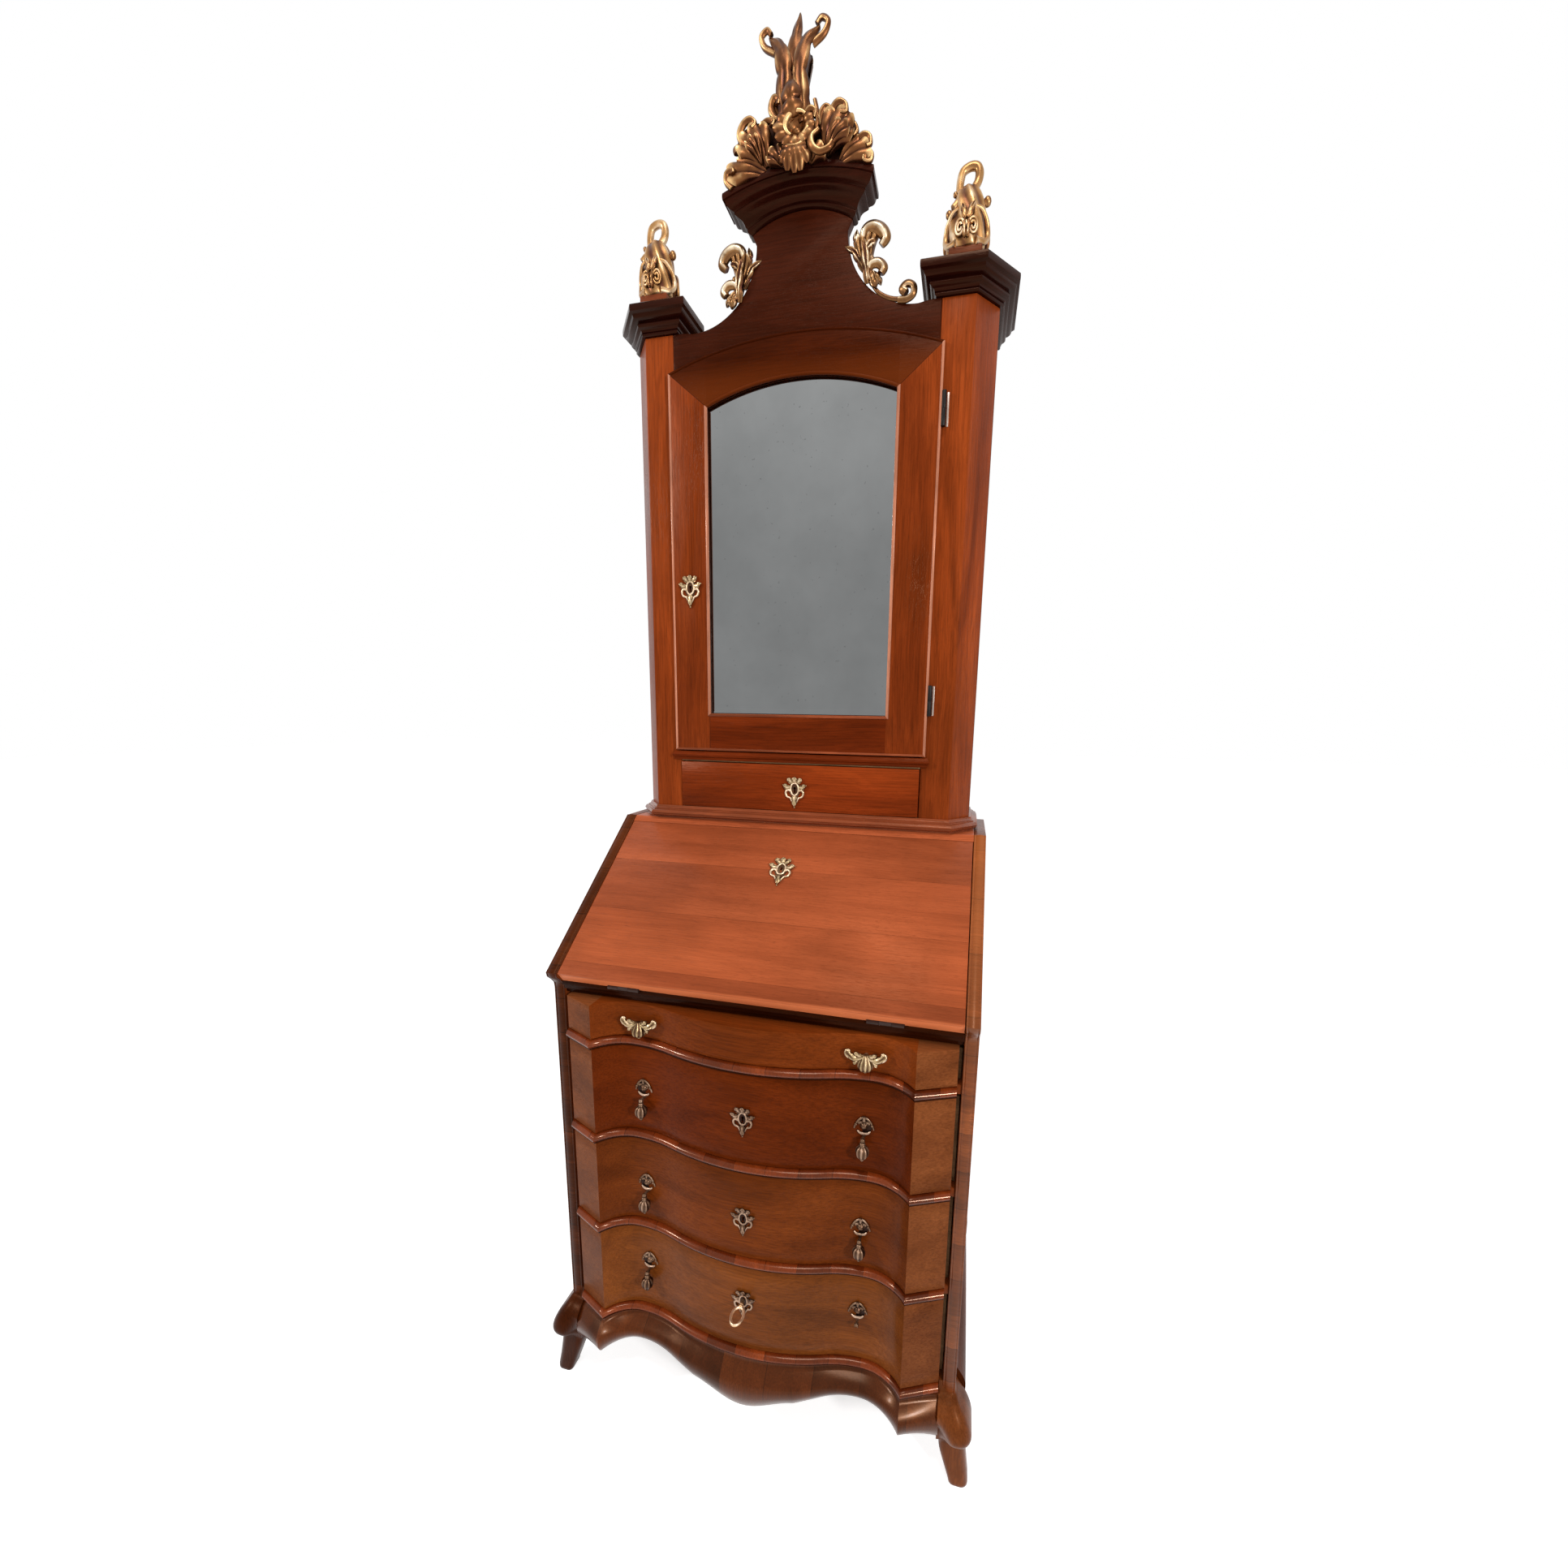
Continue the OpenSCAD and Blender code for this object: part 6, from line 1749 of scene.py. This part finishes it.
def lamp(name, place, size, power):
    bare()
    bpy.ops.object.light_add(type="AREA", location=place)
    light = bpy.context.object
    light.name = name
    light.data.size = size
    light.data.energy = power
    light.rotation_euler = (Vector(place) - Vector((0, 0, 1.0))).to_track_quat("Z", "Y").to_euler()


def seen_by(tree):
    """1 on rays from the camera and in reflections, 0 on rays that only light the pieces."""
    paths = add(tree, "LightPath").outputs
    return maths(tree, "MAXIMUM", paths["Is Camera Ray"],
                 maths(tree, "MAXIMUM", paths["Is Glossy Ray"], paths["Is Transmission Ray"]))


class DESK_OT_stage(Piece, bpy.types.Operator):
    """Pale floor, soft lamps, white surroundings and the camera"""
    bl_idname = "desk.stage"
    bl_label = "Stage"

    def execute(self, context):
        bare()
        bpy.ops.mesh.primitive_plane_add(size=40, location=(0, 0, 0))
        floor = bpy.context.object
        floor.name = "floor"
        mat = bpy.data.materials.new("pale_floor")
        mat.use_nodes = True
        tree = mat.node_tree
        tree.nodes.clear()
        seen = seen_by(tree)
        glow = add(tree, "Emission", {"Color": (1, 1, 1, 1), "Strength": maths(tree, "MULTIPLY", seen, 0.68)})
        matt = add(tree, "BsdfDiffuse", {"Color": (0.8, 0.8, 0.8, 1)})
        both = add(tree, "AddShader", {0: matt.outputs[0], 1: glow.outputs[0]})
        add(tree, "OutputMaterial", {"Surface": both.outputs[0]})
        floor.data.materials.append(mat)

        world = bpy.data.worlds.new("studio")
        context.scene.world = world
        world.use_nodes = True
        tree = world.node_tree
        tree.nodes.clear()
        strength = maths(tree, "MULTIPLY_ADD", seen_by(tree), 0.58, 0.42)
        sky = add(tree, "Background", {"Color": (1, 1, 1, 1), "Strength": strength})
        add(tree, "OutputWorld", {"Surface": sky.outputs[0]})

        lamp("key_lamp", (-3.0, -1.9, 2.9), 0.35, 66)
        lamp("side_lamp", (2.2, -2.0, 1.95), 0.3, 52)
        lamp("top_lamp", (0.3, -1.3, 3.7), 0.8, 26)

        bpy.ops.object.camera_add(location=(0.32823, -0.91627 + NOSE_Y, 1.32677),
                                  rotation=[math.radians(a) for a in (79.48817, -0.79719, 14.22045)])
        camera = bpy.context.object
        camera.name = "camera"
        camera.data.sensor_width = 36
        camera.data.lens = 14.515
        camera.data.shift_x = -0.01356
        camera.data.shift_y = 0.02677
        context.scene.camera = camera
        context.scene.view_settings.view_transform = "Standard"
        return {"FINISHED"}


OPERATORS = (DESK_OT_stage, DESK_OT_case_boards, DESK_OT_side_edges, DESK_OT_rails, DESK_OT_aprons, DESK_OT_feet,
             DESK_OT_desk_fittings, DESK_OT_lid, DESK_OT_lid_lock, DESK_OT_drawers, DESK_OT_drawer_brasses,
             DESK_OT_slim_handles, DESK_OT_key, DESK_OT_cabinet, DESK_OT_cabinet_mouldings, DESK_OT_cabinet_drawer,
             DESK_OT_door, DESK_OT_mirror, DESK_OT_pediment, DESK_OT_cap, DESK_OT_capitals, DESK_OT_finials,
             DESK_OT_crest, DESK_OT_scrolls)


class DESK_PT_panel(bpy.types.Panel):
    """Lists the desk's pieces, sizes and colours"""
    bl_idname = "DESK_PT_panel"
    bl_label = "Secretary Desk"
    bl_space_type = "VIEW_3D"
    bl_region_type = "UI"
    bl_category = "Desk"

    def draw(self, context):
        for operator in OPERATORS:
            self.layout.operator(operator.bl_idname)
        for group in (context.scene.desk_sizes, context.scene.desk_colours):
            for name in group.__annotations__:
                self.layout.prop(group, name)


CLASSES = (DeskSizes, DeskColours, *OPERATORS, DESK_PT_panel)


def register():
    for cls in CLASSES:
        bpy.utils.register_class(cls)
    bpy.types.Scene.desk_sizes = PointerProperty(type=DeskSizes)
    bpy.types.Scene.desk_colours = PointerProperty(type=DeskColours)


def unregister():
    del bpy.types.Scene.desk_colours
    del bpy.types.Scene.desk_sizes
    for cls in reversed(CLASSES):
        bpy.utils.unregister_class(cls)


def main():
    register()
    make_finishes()
    for operator in OPERATORS:
        group, name = operator.bl_idname.split(".")
        result = getattr(getattr(bpy.ops, group), name)()
        if "FINISHED" not in result:
            raise RuntimeError(f"{operator.bl_idname} did not finish")


if __name__ == "__main__":
    main()
